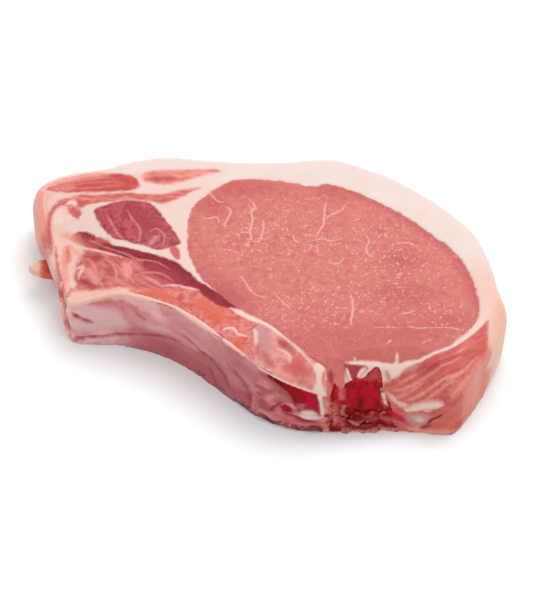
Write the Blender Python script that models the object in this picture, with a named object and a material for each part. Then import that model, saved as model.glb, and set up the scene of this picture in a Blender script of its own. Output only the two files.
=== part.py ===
"""Raw pork chop: a thick rib chop with its bone, lying on one of its two cut faces.

The chop is a slice through a pork loin, so every muscle, bone and layer of fat that shows on
the upper cut face runs down through the slice to the lower one. Each of them starts as a
flat slab, cut out of the chop's outline and parted from its neighbours by a hair's gap. The
slabs are then shaped together by one formula: the tail end and the corner by the backbone
are thinner, the fat cap is rounded over, the rib wall is hollowed under the rib, and each
muscle stands a little proud of the seams around it.

Units: the sizes below are millimetres, the model is in metres. +X runs from the tail end to
the fat cap's blunt end, +Y from the rib side to the fat cap, +Z up. The origin is the middle
of the chop's box, on the surface it rests on.
"""
import math

import bmesh
import bpy
import numpy as np
from mathutils import Vector

MM = 0.001

# Driving sizes
THICK = 25.0            # a one-inch cut
GAP = 0.3               # between neighbouring pieces
STEP = 4.0              # spacing of the points along an outline
GRID = 5.5              # spacing of the grid over the cut faces
LEVELS = (2.5, 7.0, 14.0, 21.5)     # heights at which the walls are bent
OVERCUT = 3.0           # how far cutters pass the faces they cut
FLAT = math.radians(0.2)    # faces that meet at less than this count as one flat face
DATUM = (-0.05, -0.86)   # moves the outlines so that their box is centred on the origin

# How the thickness changes over the chop
TAIL_X, TAIL_RUN = -45.0, 25.0      # the tail end thins from here, over this length
TAIL_DROP_BACK, TAIL_DROP_FRONT = 3.5, 7.5
SHOULDER_X = 46.0                   # the slope by the backbone is steepest here
SHOULDER_RUN_RIB, SHOULDER_RUN_CAP = 30.0, 22.0     # how it fades out on either side
SHOULDER_DROP, SHOULDER_DEEP = 16.0, 6.0

# Walls
CAP_BULGE, CAP_ROUND = 1.0, 2.2     # the fat cap's swell, and how far its rims turn in
FOOT_FLARE = 0.6                    # how far the foot of the other walls stands out
RIB_BULGE, RIB_FOOT = 0.9, 0.6      # the rib wall over the rib, and its foot below it
WALL_REACH = 9.0                    # how deep inside the chop a wall's shape is felt

# The rib, its height given within the full thickness
RIB_LOW, RIB_HIGH = 7.0, 21.5
RIB_WIDTH = 8.0
RIB_PATH = [(-62, -8.8), (-47, -9.2), (-36, -11.8), (-25, -17.6), (-15, -25.6), (-3, -37.8)]

# The spinal canal, opened by the saw on the rib side of the backbone
CANAL_AT = (11.2, -50.4, 15.4)
CANAL_RADII = (8.2, 5.6, 7.2)

# A small tag of fat that hangs from the wall at the tail end
TAG_LOW, TAG_HIGH = 8.5, 13.0

# The pieces that don't run from one cut face to the other
HEIGHTS = {"rib_bone": (RIB_LOW, RIB_HIGH), "flank_tag": (TAG_LOW, TAG_HIGH)}

# Outlines of the chop and its pieces, anticlockwise, as they show on the upper cut face.
# A piece gives way to those before it in PIECES, so outlines may run over one another
# and past the chop's edge.
CHOP = [
    (-63.8, -11.5), (-56, -12.5), (-47, -12.9), (-38, -15.7), (-28, -20.4), (-18, -28.5),
    (-8, -38.3), (0, -44.8), (9, -49.1), (20, -50.4), (34, -50), (48, -50.5), (58, -51.8),
    (62.5, -50.5), (67.6, -43.5), (73.2, -34), (77.8, -24), (79.4, -17), (77.8, -10),
    (74.8, 6), (71.6, 15.6), (64.8, 25), (54.8, 34.6), (43.8, 43.2), (33.6, 48.4),
    (25.2, 51.8), (16, 51.6), (6, 50.4), (-10, 50.8), (-24, 52.3), (-34, 53), (-44, 51.2),
    (-54, 48.6), (-64, 48.8), (-71.4, 47), (-77.2, 41.8), (-78.9, 34.5), (-77.2, 27),
    (-74.6, 18), (-71.6, 8), (-68, 0), (-66, -6)]
LOIN_EYE = [
    (-25.4, 20.6), (-25.2, 7.2), (-23.6, 1.7), (-20.8, -5), (-16.3, -10.6), (-5.2, -21.7),
    (0, -25.6), (6.8, -32.2), (14, -41.2), (17.4, -43.8), (20.4, -44.4), (22.8, -46.8),
    (25.5, -47.3), (27.6, -42), (31, -40), (45.9, -39.6), (54.5, -37.8), (60.5, -34),
    (65, -29.9), (68.3, -26.8), (70.6, -22), (71, -17.2), (69.2, -5), (64.2, 6), (55.3, 16),
    (45, 25.6), (32.6, 34), (22.6, 38.3), (16.4, 37.2), (4.8, 40), (-7.4, 40.8),
    (-14, 38.3), (-20, 32.5), (-23.6, 28.3)]
RIB_CAP_MUSCLE = [
    (-54.9, 29), (-57.7, 26.8), (-54.7, 19.3), (-50.2, 12.9), (-46.3, 10.9), (-38.6, 8.4),
    (-35.2, 6.9), (-28.8, 9), (-28.3, 12.3), (-34.1, 22.9), (-39.7, 29.6), (-49.7, 30.2)]
RIB_STRIP_MUSCLE = [
    (-64.1, 18.1), (-62.4, 14.2), (-53, 7.7), (-44.7, 2.9), (-40.8, 2), (-38.6, -2.1),
    (-29.7, -8.2), (-23, -10.5), (-16.3, -17.1), (-9.7, -19.8), (-9.5, -17.5), (-14, -12.5),
    (-19.1, -8.8), (-22.8, -4.9), (-30.2, 2.3), (-39.7, 6), (-49.7, 9.8), (-54.1, 13.6),
    (-60.8, 19.1)]
CHINE_BONE = [
    (22.9, -45.5), (22.9, -58), (46.5, -58), (45, -52), (42, -49), (38, -47), (38.6, -45),
    (38, -43), (36, -42.5), (33.5, -43.8), (30, -45.2), (27.5, -45.6), (25, -45)]
RIB_HEAD = [
    (-3.6, -27), (-3.8, -33), (-2.5, -38), (0.5, -42.5), (1, -47), (1, -58), (23.6, -58),
    (23.6, -46), (20, -43), (12, -37), (6, -30), (0.5, -24.6)]
BACK_MUSCLE = [
    (37.5, -48), (37.5, -58), (60, -58), (61, -52), (63, -48), (66, -42.8), (69, -38.4),
    (71.3, -34.5), (73.3, -29.5), (73.8, -24.8), (72, -26.5), (67, -31.2), (62, -35.8),
    (57, -39.3), (50, -42.1), (43, -44.6)]
INTERCOSTAL_MUSCLE = [
    (-63.2, 10.6), (-63.6, 4.4), (-61.9, -4.3), (-54.7, -8.4), (-44.1, -9.6), (-36, -11.2),
    (-27, -10.8), (-28, -7), (-35, -3), (-39, 1), (-47, 6), (-52, 9.5), (-58, 12.5)]
RIB_SIDE_MEAT = [
    (-70, -3.5), (-70, -22), (-30, -32), (-6, -54), (4, -58), (4, -30), (-4, -19),
    (-14, -14), (-22, -8), (-30, -7), (-45, -6), (-60, -4)]
BELLY_MUSCLE = [
    (-76, 40), (-70, 37.6), (-62, 36.8), (-50, 35), (-44.5, 35.3), (-42.7, 37.3),
    (-45.2, 42.2), (-54, 44.8), (-60, 45.4), (-66, 44.3)]
FLANK_MUSCLE = [
    (-41.6, 43), (-41.8, 40.7), (-39.1, 39), (-34.1, 37.9), (-28.6, 39), (-19.1, 43.2),
    (-14.9, 44.3), (-16.9, 45.9), (-27.4, 45.3), (-38.6, 44.6)]
SKIN_MUSCLE = [
    (-71, 32.6), (-67, 30.3), (-62.5, 29), (-59, 30.2), (-49.7, 29.6), (-40, 29.4),
    (-36, 28.2), (-31.9, 29), (-21.8, 35.4), (-24.1, 35.2), (-29.7, 33.4), (-35.2, 31.9),
    (-44.1, 32.2), (-56.3, 33.4), (-60.8, 34.6), (-66, 34.2)]
FLANK_TAG = [
    (-70, 17), (-70, 8.5), (-74.5, 8.8), (-78.2, 10.8), (-79.4, 12.6), (-77.8, 14.4),
    (-75, 16.6)]

# name, outline, how proud it stands of its seams, colour, roughness; a piece without an
# outline here is the rib, whose outline is a band along its path
PIECES = [
    ("loin_eye", LOIN_EYE, 0.6, (0.69, 0.16, 0.15), 0.5),
    ("rib_cap_muscle", RIB_CAP_MUSCLE, 0.7, (0.45, 0.07, 0.09), 0.45),
    ("rib_strip_muscle", RIB_STRIP_MUSCLE, 0.3, (0.4, 0.05, 0.08), 0.45),
    ("chine_bone", CHINE_BONE, 0.5, (0.42, 0.01, 0.02), 0.4),
    ("rib_head", RIB_HEAD, 0.4, (0.6, 0.3, 0.29), 0.45),
    ("back_muscle", BACK_MUSCLE, 0.7, (0.55, 0.12, 0.1), 0.45),
    ("rib_bone", None, 0.0, (0.65, 0.33, 0.35), 0.35),
    ("intercostal_muscle", INTERCOSTAL_MUSCLE, 0.5, (0.66, 0.21, 0.2), 0.45),
    ("rib_side_meat", RIB_SIDE_MEAT, 0.5, (0.7, 0.19, 0.12), 0.45),
    ("belly_muscle", BELLY_MUSCLE, 0.4, (0.72, 0.2, 0.16), 0.5),
    ("flank_muscle", FLANK_MUSCLE, 0.3, (0.72, 0.22, 0.18), 0.5),
    ("skin_muscle", SKIN_MUSCLE, 0.2, (0.66, 0.2, 0.18), 0.5),
    ("fat", CHOP, 0.3, (0.86, 0.7, 0.62), 0.5),
    ("flank_tag", FLANK_TAG, 0.0, (0.8, 0.4, 0.22), 0.5)]


def smooth(t):
    """0 below 0, 1 above 1, and an even S between."""
    t = np.clip(t, 0.0, 1.0)
    return t * t * (3 - 2 * t)


def spline(points, step=STEP):
    """Points every step along a smooth closed curve through the given points (a
    Catmull-Rom spline), moved by the datum."""
    pts = np.array(points, float) + DATUM
    fine = []
    for i in range(len(pts)):
        a, b, c, d = (pts[(i + k) % len(pts)] for k in (-1, 0, 1, 2))
        for t in np.arange(0.0, 1.0, 0.05):
            fine.append(0.5 * (2 * b + (c - a) * t + (2 * a - 5 * b + 4 * c - d) * t ** 2
                               + (3 * b - a - 3 * c + d) * t ** 3))
    fine = np.array(fine + fine[:1])
    run = np.concatenate(([0.0], np.cumsum(np.linalg.norm(np.diff(fine, axis=0), axis=1))))
    at = np.linspace(0.0, run[-1], max(8, round(run[-1] / step)), endpoint=False)
    return np.column_stack([np.interp(at, run, fine[:, k]) for k in (0, 1)])


def ribbon(path, width):
    """The outline of a band of even width with round ends along an open path."""
    path = np.array(path, float)
    ahead = np.gradient(path, axis=0)
    ahead /= np.linalg.norm(ahead, axis=1)[:, None]
    side = np.column_stack((ahead[:, 1], -ahead[:, 0])) * width / 2
    tip = [path[-1] + ahead[-1] * width / 2]
    tail = [path[0] - ahead[0] * width / 2]
    return np.concatenate((path + side, tip, (path - side)[::-1], tail))


def grown(outline, by):
    """An anticlockwise outline moved outwards, corners mitred."""
    before = outline - np.roll(outline, 1, axis=0)
    after = np.roll(outline, -1, axis=0) - outline
    out = []
    for edge in (before, after):
        out.append(np.column_stack((edge[:, 1], -edge[:, 0]))
                   / np.linalg.norm(edge, axis=1)[:, None])
    mitre = out[0] + out[1]
    mitre /= np.sum(mitre * out[0], axis=1)[:, None]
    return outline + mitre * by


CHOP_EDGE = spline(CHOP)


def edge_of_chop(xy):
    """How deep each point lies inside the chop's outline, the nearest point of the
    outline, and the outward direction there."""
    ends = np.roll(CHOP_EDGE, -1, axis=0)
    along = ends - CHOP_EDGE
    length = np.linalg.norm(along, axis=1)
    off = xy[:, None, :] - CHOP_EDGE[None]
    t = np.clip(np.sum(off * along, axis=2) / length ** 2, 0.0, 1.0)
    near = CHOP_EDGE[None] + along[None] * t[:, :, None]
    gap = xy[:, None, :] - near
    far = np.linalg.norm(gap, axis=2)
    k = np.argmin(far, axis=1)
    rows = np.arange(len(xy))
    facing = np.column_stack((along[:, 1], -along[:, 0])) / length[:, None]
    inward = -np.sign(np.sum(gap[rows, k] * facing[k], axis=1))
    # the facing of the outline, blended from one side to the next
    corner = facing + np.roll(facing, 1, axis=0)
    corner /= np.linalg.norm(corner, axis=1)[:, None]
    u = t[rows, k][:, None]
    blend = corner[k] * (1 - u) + np.roll(corner, -1, axis=0)[k] * u
    blend /= np.linalg.norm(blend, axis=1)[:, None]
    return far[rows, k] * inward, near[rows, k], blend


def depth_in(outline, xy):
    """How deep each point lies inside an outline, 0 outside it."""
    ends = np.roll(outline, -1, axis=0)
    along = ends - outline
    off = xy[:, None, :] - outline[None]
    t = np.clip(np.sum(off * along, axis=2) / np.sum(along * along, axis=1), 0.0, 1.0)
    far = np.linalg.norm(off - along[None] * t[:, :, None], axis=2).min(axis=1)
    crosses = (outline[:, 1] > xy[:, 1:]) != (ends[:, 1] > xy[:, 1:])
    rise = np.where(along[:, 1] == 0, 1.0, along[:, 1])
    meets = xy[:, :1] < along[:, 0] * (xy[:, 1:] - outline[:, 1]) / rise + outline[:, 0]
    return np.where(np.sum(crosses & meets, axis=1) % 2 == 1, far, 0.0)


def thickness(x, y, depth):
    """The chop's thickness at each point."""
    thick = THICK - (smooth((TAIL_X - x) / TAIL_RUN)
                     * (TAIL_DROP_BACK + (TAIL_DROP_FRONT - TAIL_DROP_BACK)
                        * smooth((40 - y) / 50)))
    run = np.where(x < SHOULDER_X, SHOULDER_RUN_RIB, SHOULDER_RUN_CAP)
    near_backbone = np.exp(-((x - SHOULDER_X) / run) ** 2) * smooth((-10 - y) / 15)
    reach = SHOULDER_DEEP + 10 * near_backbone
    slope = np.clip(1 - np.maximum(depth, 0) / reach, 0.0, 1.0)
    return thick - SHOULDER_DROP * near_backbone * slope ** 2


def wall_shift(edge, level):
    """How far the wall stands out from the outline, by place and height (0 to 1)."""
    cap_side = smooth((edge[:, 1] + 17.5 + 0.3 * edge[:, 0]) / 12)
    rib_side = smooth((2 - edge[:, 0]) / 14) * (1 - cap_side)
    cap = CAP_BULGE - CAP_ROUND * np.abs(2 * level - 1) ** 5
    foot = FOOT_FLARE * smooth((0.3 - level) / 0.25)
    over_rib = RIB_BULGE * np.exp(-((level - 0.62) / 0.2) ** 2)
    foot_of_rib = np.exp(-((edge[:, 0] + 28) / 20) ** 2)
    under_rib = RIB_FOOT * smooth((0.3 - level) / 0.25) * foot_of_rib
    return cap_side * cap + (1 - cap_side) * foot + rib_side * (over_rib + under_rib)


def shaped(points, outline, proud):
    """The chop's shape: moves points of a piece's flat slab to where they really lie."""
    xy, level = points[:, :2], points[:, 2] / THICK
    depth, edge, facing = edge_of_chop(xy)
    felt = smooth(1 - np.maximum(depth, 0) / WALL_REACH)
    moved = xy + facing * (wall_shift(edge, level) * felt)[:, None]
    top = thickness(xy[:, 0], xy[:, 1], depth)
    if proud:
        top = top + proud * smooth(depth_in(outline, xy) / 7) * smooth(depth / 7)
    return np.column_stack((moved, level * top))


def slab(name, outline, low, high, home):
    """A flat outline filled and extruded from low to high, as a mesh."""
    curve = bpy.data.curves.new(name + "_outline", "CURVE")
    curve.dimensions = "2D"
    curve.fill_mode = "BOTH"
    curve.extrude = (high - low) / 2 * MM
    run = curve.splines.new("POLY")
    run.points.add(len(outline) - 1)
    for point, (x, y) in zip(run.points, outline):
        point.co = (x * MM, y * MM, 0.0, 1.0)
    run.use_cyclic_u = True
    drawn = bpy.data.objects.new(name + "_outline", curve)
    drawn.location.z = (low + high) / 2 * MM
    home.objects.link(drawn)
    bpy.context.view_layer.update()
    mesh = bpy.data.meshes.new_from_object(
        drawn.evaluated_get(bpy.context.evaluated_depsgraph_get()))
    weld(mesh)
    mesh.transform(drawn.matrix_world)
    piece = bpy.data.objects.new(name, mesh)
    home.objects.link(piece)
    bpy.data.objects.remove(drawn)
    return piece


def weld(mesh):
    """Joins a curve's caps to its sides."""
    bm = bmesh.new()
    bm.from_mesh(mesh)
    bmesh.ops.remove_doubles(bm, verts=bm.verts, dist=0.01 * MM)
    bmesh.ops.recalc_face_normals(bm, faces=bm.faces)
    bm.to_mesh(mesh)
    bm.free()


def cut(piece, cutter, operation):
    """Works a Boolean into the piece's own mesh."""
    step = piece.modifiers.new(cutter.name, "BOOLEAN")
    step.operation = operation
    step.solver = "EXACT"
    step.object = cutter
    bpy.context.view_layer.update()
    mesh = bpy.data.meshes.new_from_object(
        piece.evaluated_get(bpy.context.evaluated_depsgraph_get()))
    piece.modifiers.clear()
    piece.data = mesh


def canal_cutter(home):
    """The spinal canal as an ellipsoid."""
    bpy.ops.mesh.primitive_uv_sphere_add(segments=16, ring_count=10, radius=MM)
    canal = bpy.context.object
    canal.name = "spinal_canal"
    canal.data.transform(canal.matrix_world)
    for vertex in canal.data.vertices:
        co = vertex.co
        vertex.co = Vector([co[k] * CANAL_RADII[k] + CANAL_AT[k] * MM for k in range(3)])
    for collection in list(canal.users_collection):
        collection.objects.unlink(canal)
    home.objects.link(canal)
    return canal


def crossings(values, pitch):
    """The grid lines between the lowest and the highest value."""
    first = math.floor(min(values) / pitch) + 1
    return [i * pitch for i in range(first, math.ceil(max(values) / pitch))]


def slice_up(bm, normal, places, wanted):
    """Cuts the wanted faces along planes across normal, at the given millimetres."""
    for place in places:
        chosen = [f for f in bm.faces if wanted(f)]
        geom = chosen + list({e for f in chosen for e in f.edges})
        geom += list({v for f in chosen for v in f.verts})
        bmesh.ops.bisect_plane(bm, geom=geom, dist=0.02 * MM, plane_co=normal * place * MM,
                               plane_no=normal)


def on_rim(edge):
    """Whether an edge lies between an upper cut face and a wall."""
    ups = [face.normal.z for face in edge.link_faces]
    return len(ups) == 2 and max(ups) > 0.5 > abs(min(ups))


def corner_beside(point, corners):
    """The nearest of the outline's own corners along the rim from a point on it."""
    found = []
    for edge in [e for e in point.link_edges if on_rim(e)]:
        here = edge.other_vert(point)
        while here not in corners:
            edge = next(e for e in here.link_edges if on_rim(e) and e is not edge)
            here = edge.other_vert(here)
        found.append(here)
    return min(found, key=lambda corner: (corner.co - point.co).length)


def grid_top(bm):
    """Grids the upper cut face, with the lines' ends drawn to the outline's corners."""
    corners = set(bm.verts)
    for k, normal in enumerate((Vector((1, 0, 0)), Vector((0, 1, 0)))):
        places = crossings([v.co[k] / MM for v in bm.verts], GRID)
        slice_up(bm, normal, places, lambda f: f.normal.z > 0.5)
    ends = [v for v in bm.verts if v not in corners and any(on_rim(e) for e in v.link_edges)]
    bmesh.ops.weld_verts(bm, targetmap={v: corner_beside(v, corners) for v in ends})


def shape_piece(piece, outline, proud):
    """Grids a slab, gives it the chop's shape and shades it."""
    bm = bmesh.new()
    bm.from_mesh(piece.data)
    bmesh.ops.dissolve_limit(bm, angle_limit=FLAT, verts=[], edges=bm.edges)
    grid_top(bm)

    def near_wall(face):
        at = np.array([face.calc_center_median()[:2]]) / MM
        return abs(face.normal.z) < 0.9 and edge_of_chop(at)[0][0] < WALL_REACH

    slice_up(bm, Vector((0, 0, 1)), LEVELS, near_wall)
    flat = np.array([v.co for v in bm.verts]) / MM
    for vertex, place in zip(bm.verts, shaped(flat, outline, proud)):
        vertex.co = Vector(place * MM)
    bmesh.ops.triangulate(bm, faces=bm.faces)
    bmesh.ops.recalc_face_normals(bm, faces=bm.faces)
    bm.to_mesh(piece.data)
    bm.free()
    piece.data.shade_smooth()
    piece.data.set_sharp_from_angle(angle=math.radians(40))


def colour_piece(piece, colour, roughness):
    """A plain material of the piece's own colour."""
    material = bpy.data.materials.new(piece.name)
    material.use_nodes = True
    shader = material.node_tree.nodes["Principled BSDF"]
    shader.inputs["Base Color"].default_value = (*colour, 1.0)
    shader.inputs["Roughness"].default_value = roughness
    shader.inputs["Metallic"].default_value = 0.0
    piece.data.materials.clear()
    piece.data.materials.append(material)


def main():
    for old in list(bpy.data.objects):
        bpy.data.objects.remove(old)
    chop = bpy.data.collections.new("raw_pork_chop")
    cutters = bpy.data.collections.new("cutters")
    bpy.context.scene.collection.children.link(chop)
    bpy.context.scene.collection.children.link(cutters)

    body = slab("chop_outline", CHOP_EDGE, 0.0, THICK, cutters)
    body_grown = slab("chop_outline_grown", grown(CHOP_EDGE, GAP), -OVERCUT,
                      THICK + OVERCUT, cutters)
    canal = canal_cutter(cutters)
    rooms = []
    for name, points, proud, colour, roughness in PIECES:
        outline = spline(points or ribbon(RIB_PATH, RIB_WIDTH))
        low, high = HEIGHTS.get(name, (-OVERCUT, THICK + OVERCUT))
        piece = slab(name, outline, low, high, chop)
        if name == "flank_tag":
            cut(piece, body_grown, "DIFFERENCE")
        else:
            cut(piece, body, "INTERSECT")
            for room in rooms:
                cut(piece, room, "DIFFERENCE")
            rooms.append(slab(name + "_room", grown(outline, GAP), low - GAP, high + GAP,
                              cutters))
        if name == "rib_head":
            cut(piece, canal, "DIFFERENCE")
        shape_piece(piece, outline, proud)
        colour_piece(piece, colour, roughness)
    for cutter in cutters.objects:
        cutter.hide_render = True
        cutter.display_type = "WIRE"


main()
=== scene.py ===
"""Raw pork chop: the looks of a thick rib chop, made around its solid model.

The chop is a slice through a pork loin that lies on one of its two cut faces. What runs
through the slice, muscle and fat, is one continuous piece of flesh, because in a real chop
nothing parts them but a change of colour. The bones, the membrane over the rib, and the
scraps that hang from the edge are pieces of their own, set into it.

Sizes inside the functions are millimetres, in the same frame as the solid model: +X runs
from the tail end to the fat cap's blunt end, +Y from the rib side to the fat cap, +Z up.
"""

import math

import bmesh
import bpy
import numpy as np
from bpy.props import FloatProperty, FloatVectorProperty, PointerProperty
from mathutils import Matrix, Vector


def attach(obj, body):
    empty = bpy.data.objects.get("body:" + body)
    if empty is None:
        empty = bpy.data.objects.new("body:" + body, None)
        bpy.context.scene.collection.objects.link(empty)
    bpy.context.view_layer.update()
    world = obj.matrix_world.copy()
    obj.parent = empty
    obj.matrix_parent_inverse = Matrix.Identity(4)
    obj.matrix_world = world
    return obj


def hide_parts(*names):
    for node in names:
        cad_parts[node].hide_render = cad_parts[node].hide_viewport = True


bl_info = {
    "name": "Raw pork chop",
    "version": (1, 0, 0),
    "blender": (4, 5, 0),
    "location": "3D View > Sidebar > Chop",
    "description": "Dresses the solid model of a rib chop with its flesh, fat, bone and membrane",
    "category": "Object",
}

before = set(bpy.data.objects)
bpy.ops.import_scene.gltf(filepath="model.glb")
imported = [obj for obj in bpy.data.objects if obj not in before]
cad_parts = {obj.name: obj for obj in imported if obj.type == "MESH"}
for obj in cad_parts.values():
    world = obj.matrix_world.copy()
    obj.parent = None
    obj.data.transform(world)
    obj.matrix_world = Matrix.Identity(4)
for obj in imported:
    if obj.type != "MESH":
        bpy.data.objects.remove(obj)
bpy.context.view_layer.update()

MM = 0.001
BODY = "root"

# The chop's shape, as the solid model has it, but for a foot that flares a little more
THICK = 25.0
DATUM = (-0.05, -0.86)   # moves the outlines so that their box is centred on the origin
WALL_DATUM = (DATUM[0], 0.0)    # the same for outlines on a wall, given as X and height

TAIL_X, TAIL_RUN = -45.0, 25.0      # the tail end thins from here, over this length
TAIL_Y, TAIL_SPREAD = 40.0, 50.0    # and more from here towards the rib, over this width
TAIL_DROP_BACK, TAIL_DROP_FRONT = 3.5, 7.5
SHOULDER_X = 46.0                   # the slope by the backbone is steepest here
SHOULDER_RUN_RIB, SHOULDER_RUN_CAP = 30.0, 22.0     # how it fades out on either side
SHOULDER_Y, SHOULDER_SPREAD = -10.0, 15.0   # it starts here, and is full this much on
SHOULDER_DROP = 16.0
SHOULDER_DEEP, SHOULDER_DEEPER = 6.0, 10.0  # its reach from the edge, and what is added

CAP_Y, CAP_SLANT, CAP_FADE = -17.5, 0.3, 12.0   # the slanting line where the cap begins
CAP_BULGE, CAP_ROUND = 1.0, 2.2     # the fat cap's swell, and how far its rims turn in
FOOT_FLARE = 0.7                    # how far the foot of the other walls stands out
FOOT_TOP, FOOT_RISE = 0.3, 0.25     # the foot's top, and the height over which it flares
RIB_END, RIB_FADE = 2.0, 14.0       # the rib wall's end, and the length over which it ends
RIB_BULGE, RIB_LEVEL, RIB_SPREAD = 0.9, 0.62, 0.2   # the wall's swell over the rib
RIB_FOOT, RIB_FOOT_X, RIB_FOOT_RUN = 0.6, -28.0, 20.0   # and its foot below it
WALL_REACH = 9.0                    # how deep inside the chop a wall's shape is felt

SAWN_FROM = -4.0                    # the wall that the saw left by the backbone starts here
BED_DEEP, BED_BACK = 2.5, 2.0       # the flesh is cut this far under and behind the bones
BORDER_DIP, BORDER_RUN = 0.9, 1.4   # how the upper face of a bone dips at its border
ON_WALL = 0.4                       # what is less deep than this lies on the wall

# Where the faces of the flesh are finer: above a height, and on the wall by the backbone,
# between these values of X, Y and height
FINE_ABOVE = 20.0
FINE_WALL = ((43, 59), (-60, -49.5), (1, 19))

# Outlines on the upper cut face, anticlockwise; they may run over one another and past
# the chop's edge
CHOP = [
    (-63.8, -11.5), (-56, -12.5), (-47, -12.9), (-38, -15.7), (-28, -20.4), (-18, -28.5),
    (-8, -38.3), (0, -44.8), (9, -49.1), (20, -50.4), (34, -50), (48, -50.5), (58, -51.8),
    (62.5, -50.5), (67.6, -43.5), (73.2, -34), (77.8, -24), (79.4, -17), (77.8, -10),
    (74.8, 6), (71.6, 15.6), (64.8, 25), (54.8, 34.6), (43.8, 43.2), (33.6, 48.4),
    (25.2, 51.8), (16, 51.6), (6, 50.4), (-10, 50.8), (-24, 52.3), (-34, 53), (-44, 51.2),
    (-54, 48.6), (-64, 48.8), (-71.4, 47), (-77.2, 41.8), (-78.9, 34.5), (-77.2, 27),
    (-74.6, 18), (-71.6, 8), (-68, 0), (-66, -6)]
MUSCLES = {
    "eye": [
        (-25.4, 20.6), (-25.2, 7.2), (-23.6, 1.7), (-20.8, -5), (-16.3, -10.6),
        (-5.2, -21.7), (0, -25.6), (6.8, -32.2), (14, -41.2), (17.4, -43.8), (19.6, -43.4),
        (20.4, -46.6), (20.4, -58), (27, -58), (26.4, -47), (26.6, -42.4), (31, -40.9),
        (45.9, -40.3), (54.5, -38.5), (60.8, -34.9), (65.4, -30.4), (68.3, -26.8),
        (70.6, -22), (71, -17.2), (69.2, -5), (64.2, 6), (55.3, 16), (45, 25.6), (32.6, 34),
        (22.6, 38.3), (16.4, 37.2), (4.8, 40), (-7.4, 40.8), (-14, 38.3), (-20, 32.5),
        (-23.6, 28.3)],
    "oval": [
        (-54.9, 29), (-57.7, 26.8), (-54.7, 19.3), (-50.2, 12.9), (-46.3, 10.9),
        (-38.6, 8.4), (-35.2, 6.9), (-28.8, 9), (-28.3, 12.3), (-34.1, 22.9),
        (-39.7, 29.6), (-49.7, 30.2)],
    "strip": [
        (-64.1, 18.1), (-62.4, 14.2), (-53, 7.7), (-44.7, 2.9), (-40.8, 2), (-38.6, -2.1),
        (-29.7, -8.2), (-23, -10.5), (-16.3, -17.1), (-9.7, -19.8), (-9.5, -17.5),
        (-14, -12.5), (-19.1, -8.8), (-22.8, -4.9), (-30.2, 2.3), (-39.7, 6), (-49.7, 9.8),
        (-54.1, 13.6), (-60.8, 19.1)],
    "back": [
        (38.6, -46), (38.6, -58), (62, -58), (64.4, -52), (66.4, -47.6), (69, -42.4),
        (71.8, -37.4), (73.6, -33), (74.6, -28.6), (74.4, -23.8), (72.2, -25.8),
        (67, -30.8), (62, -34.8), (57, -37.8), (50, -40.7), (44.5, -42.4), (40.5, -44.6)],
    "between_ribs": [
        (-63.2, 10.6), (-63.6, 4.4), (-61.9, -4.3), (-54.7, -8.4), (-44.1, -9.6),
        (-36, -11.2), (-27, -10.8), (-28, -7), (-35, -3), (-39, 1), (-47, 6), (-52, 9.5),
        (-58, 12.5)],
    "rib_side": [
        (-70, -3.5), (-70, -22), (-30, -32), (-6, -54), (4, -58), (4, -30), (-4, -19),
        (-14, -14), (-22, -8), (-30, -7), (-45, -6), (-60, -4)],
    "belly": [
        (-76, 40), (-70, 37.6), (-62, 36.8), (-50, 35), (-44.5, 35.3), (-42.7, 37.3),
        (-45.2, 42.2), (-54, 44.8), (-60, 45.4), (-66, 44.3)],
    "flank": [
        (-41.6, 43), (-41.8, 40.7), (-39.1, 39), (-34.1, 37.9), (-28.6, 39), (-19.1, 43.2),
        (-14.9, 44.3), (-16.9, 45.9), (-27.4, 45.3), (-38.6, 44.6)],
    "skin": [
        (-71, 33.4), (-67, 31.2), (-62.5, 29.8), (-59, 31), (-49.7, 30.5), (-40, 30.2),
        (-36, 29), (-31.9, 29.8), (-21.8, 36.2), (-24.1, 36.4), (-29.7, 34.8),
        (-35.2, 33.4), (-44.1, 33.8), (-56.3, 34.9), (-60.8, 35.8), (-66, 35.4)]}
PROUD = {"eye": 0.6, "oval": 0.7, "strip": 0.3, "back": 0.7, "between_ribs": 0.5,
         "rib_side": 0.5, "belly": 0.4, "flank": 0.3, "skin": 0.2}
RIB_HEAD = [
    (-4, -27), (-4.4, -33), (-4, -38), (-3.4, -43), (-3.4, -58), (21, -58), (20.8, -46.6),
    (19.4, -42.4), (12.4, -36), (6.6, -29.4), (0.6, -23.8)]
CHINE = [
    (22.4, -47.8), (22.4, -58), (47, -58), (46, -52), (43.6, -49.8), (40.6, -47.8),
    (38.8, -46.6), (39.4, -44.8), (38.8, -42.4), (36, -41.7), (33.2, -43), (31.6, -44.2),
    (29.6, -44.8), (27.2, -46), (24.8, -47.4)]
RIB_WALL = [
    (-65.4, -8.5), (-63.8, -11.5), (-56, -12.5), (-47, -12.9), (-38, -15.7), (-28, -20.4),
    (-18, -28.5), (-8, -38.3), (0, -44.8), (3, -46.4)]
LIP = ((-66, 2.4), (-60, 2.0), (-57, 1.5), (-52, 1.3), (-46, 0.8), (-41, 1.3), (-36, 0.4),
       (-28, 0.6), (-22, 0.9), (-15, 0.9), (-10, 0.5), (-4, 0.0), (4, 0.0))

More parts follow.
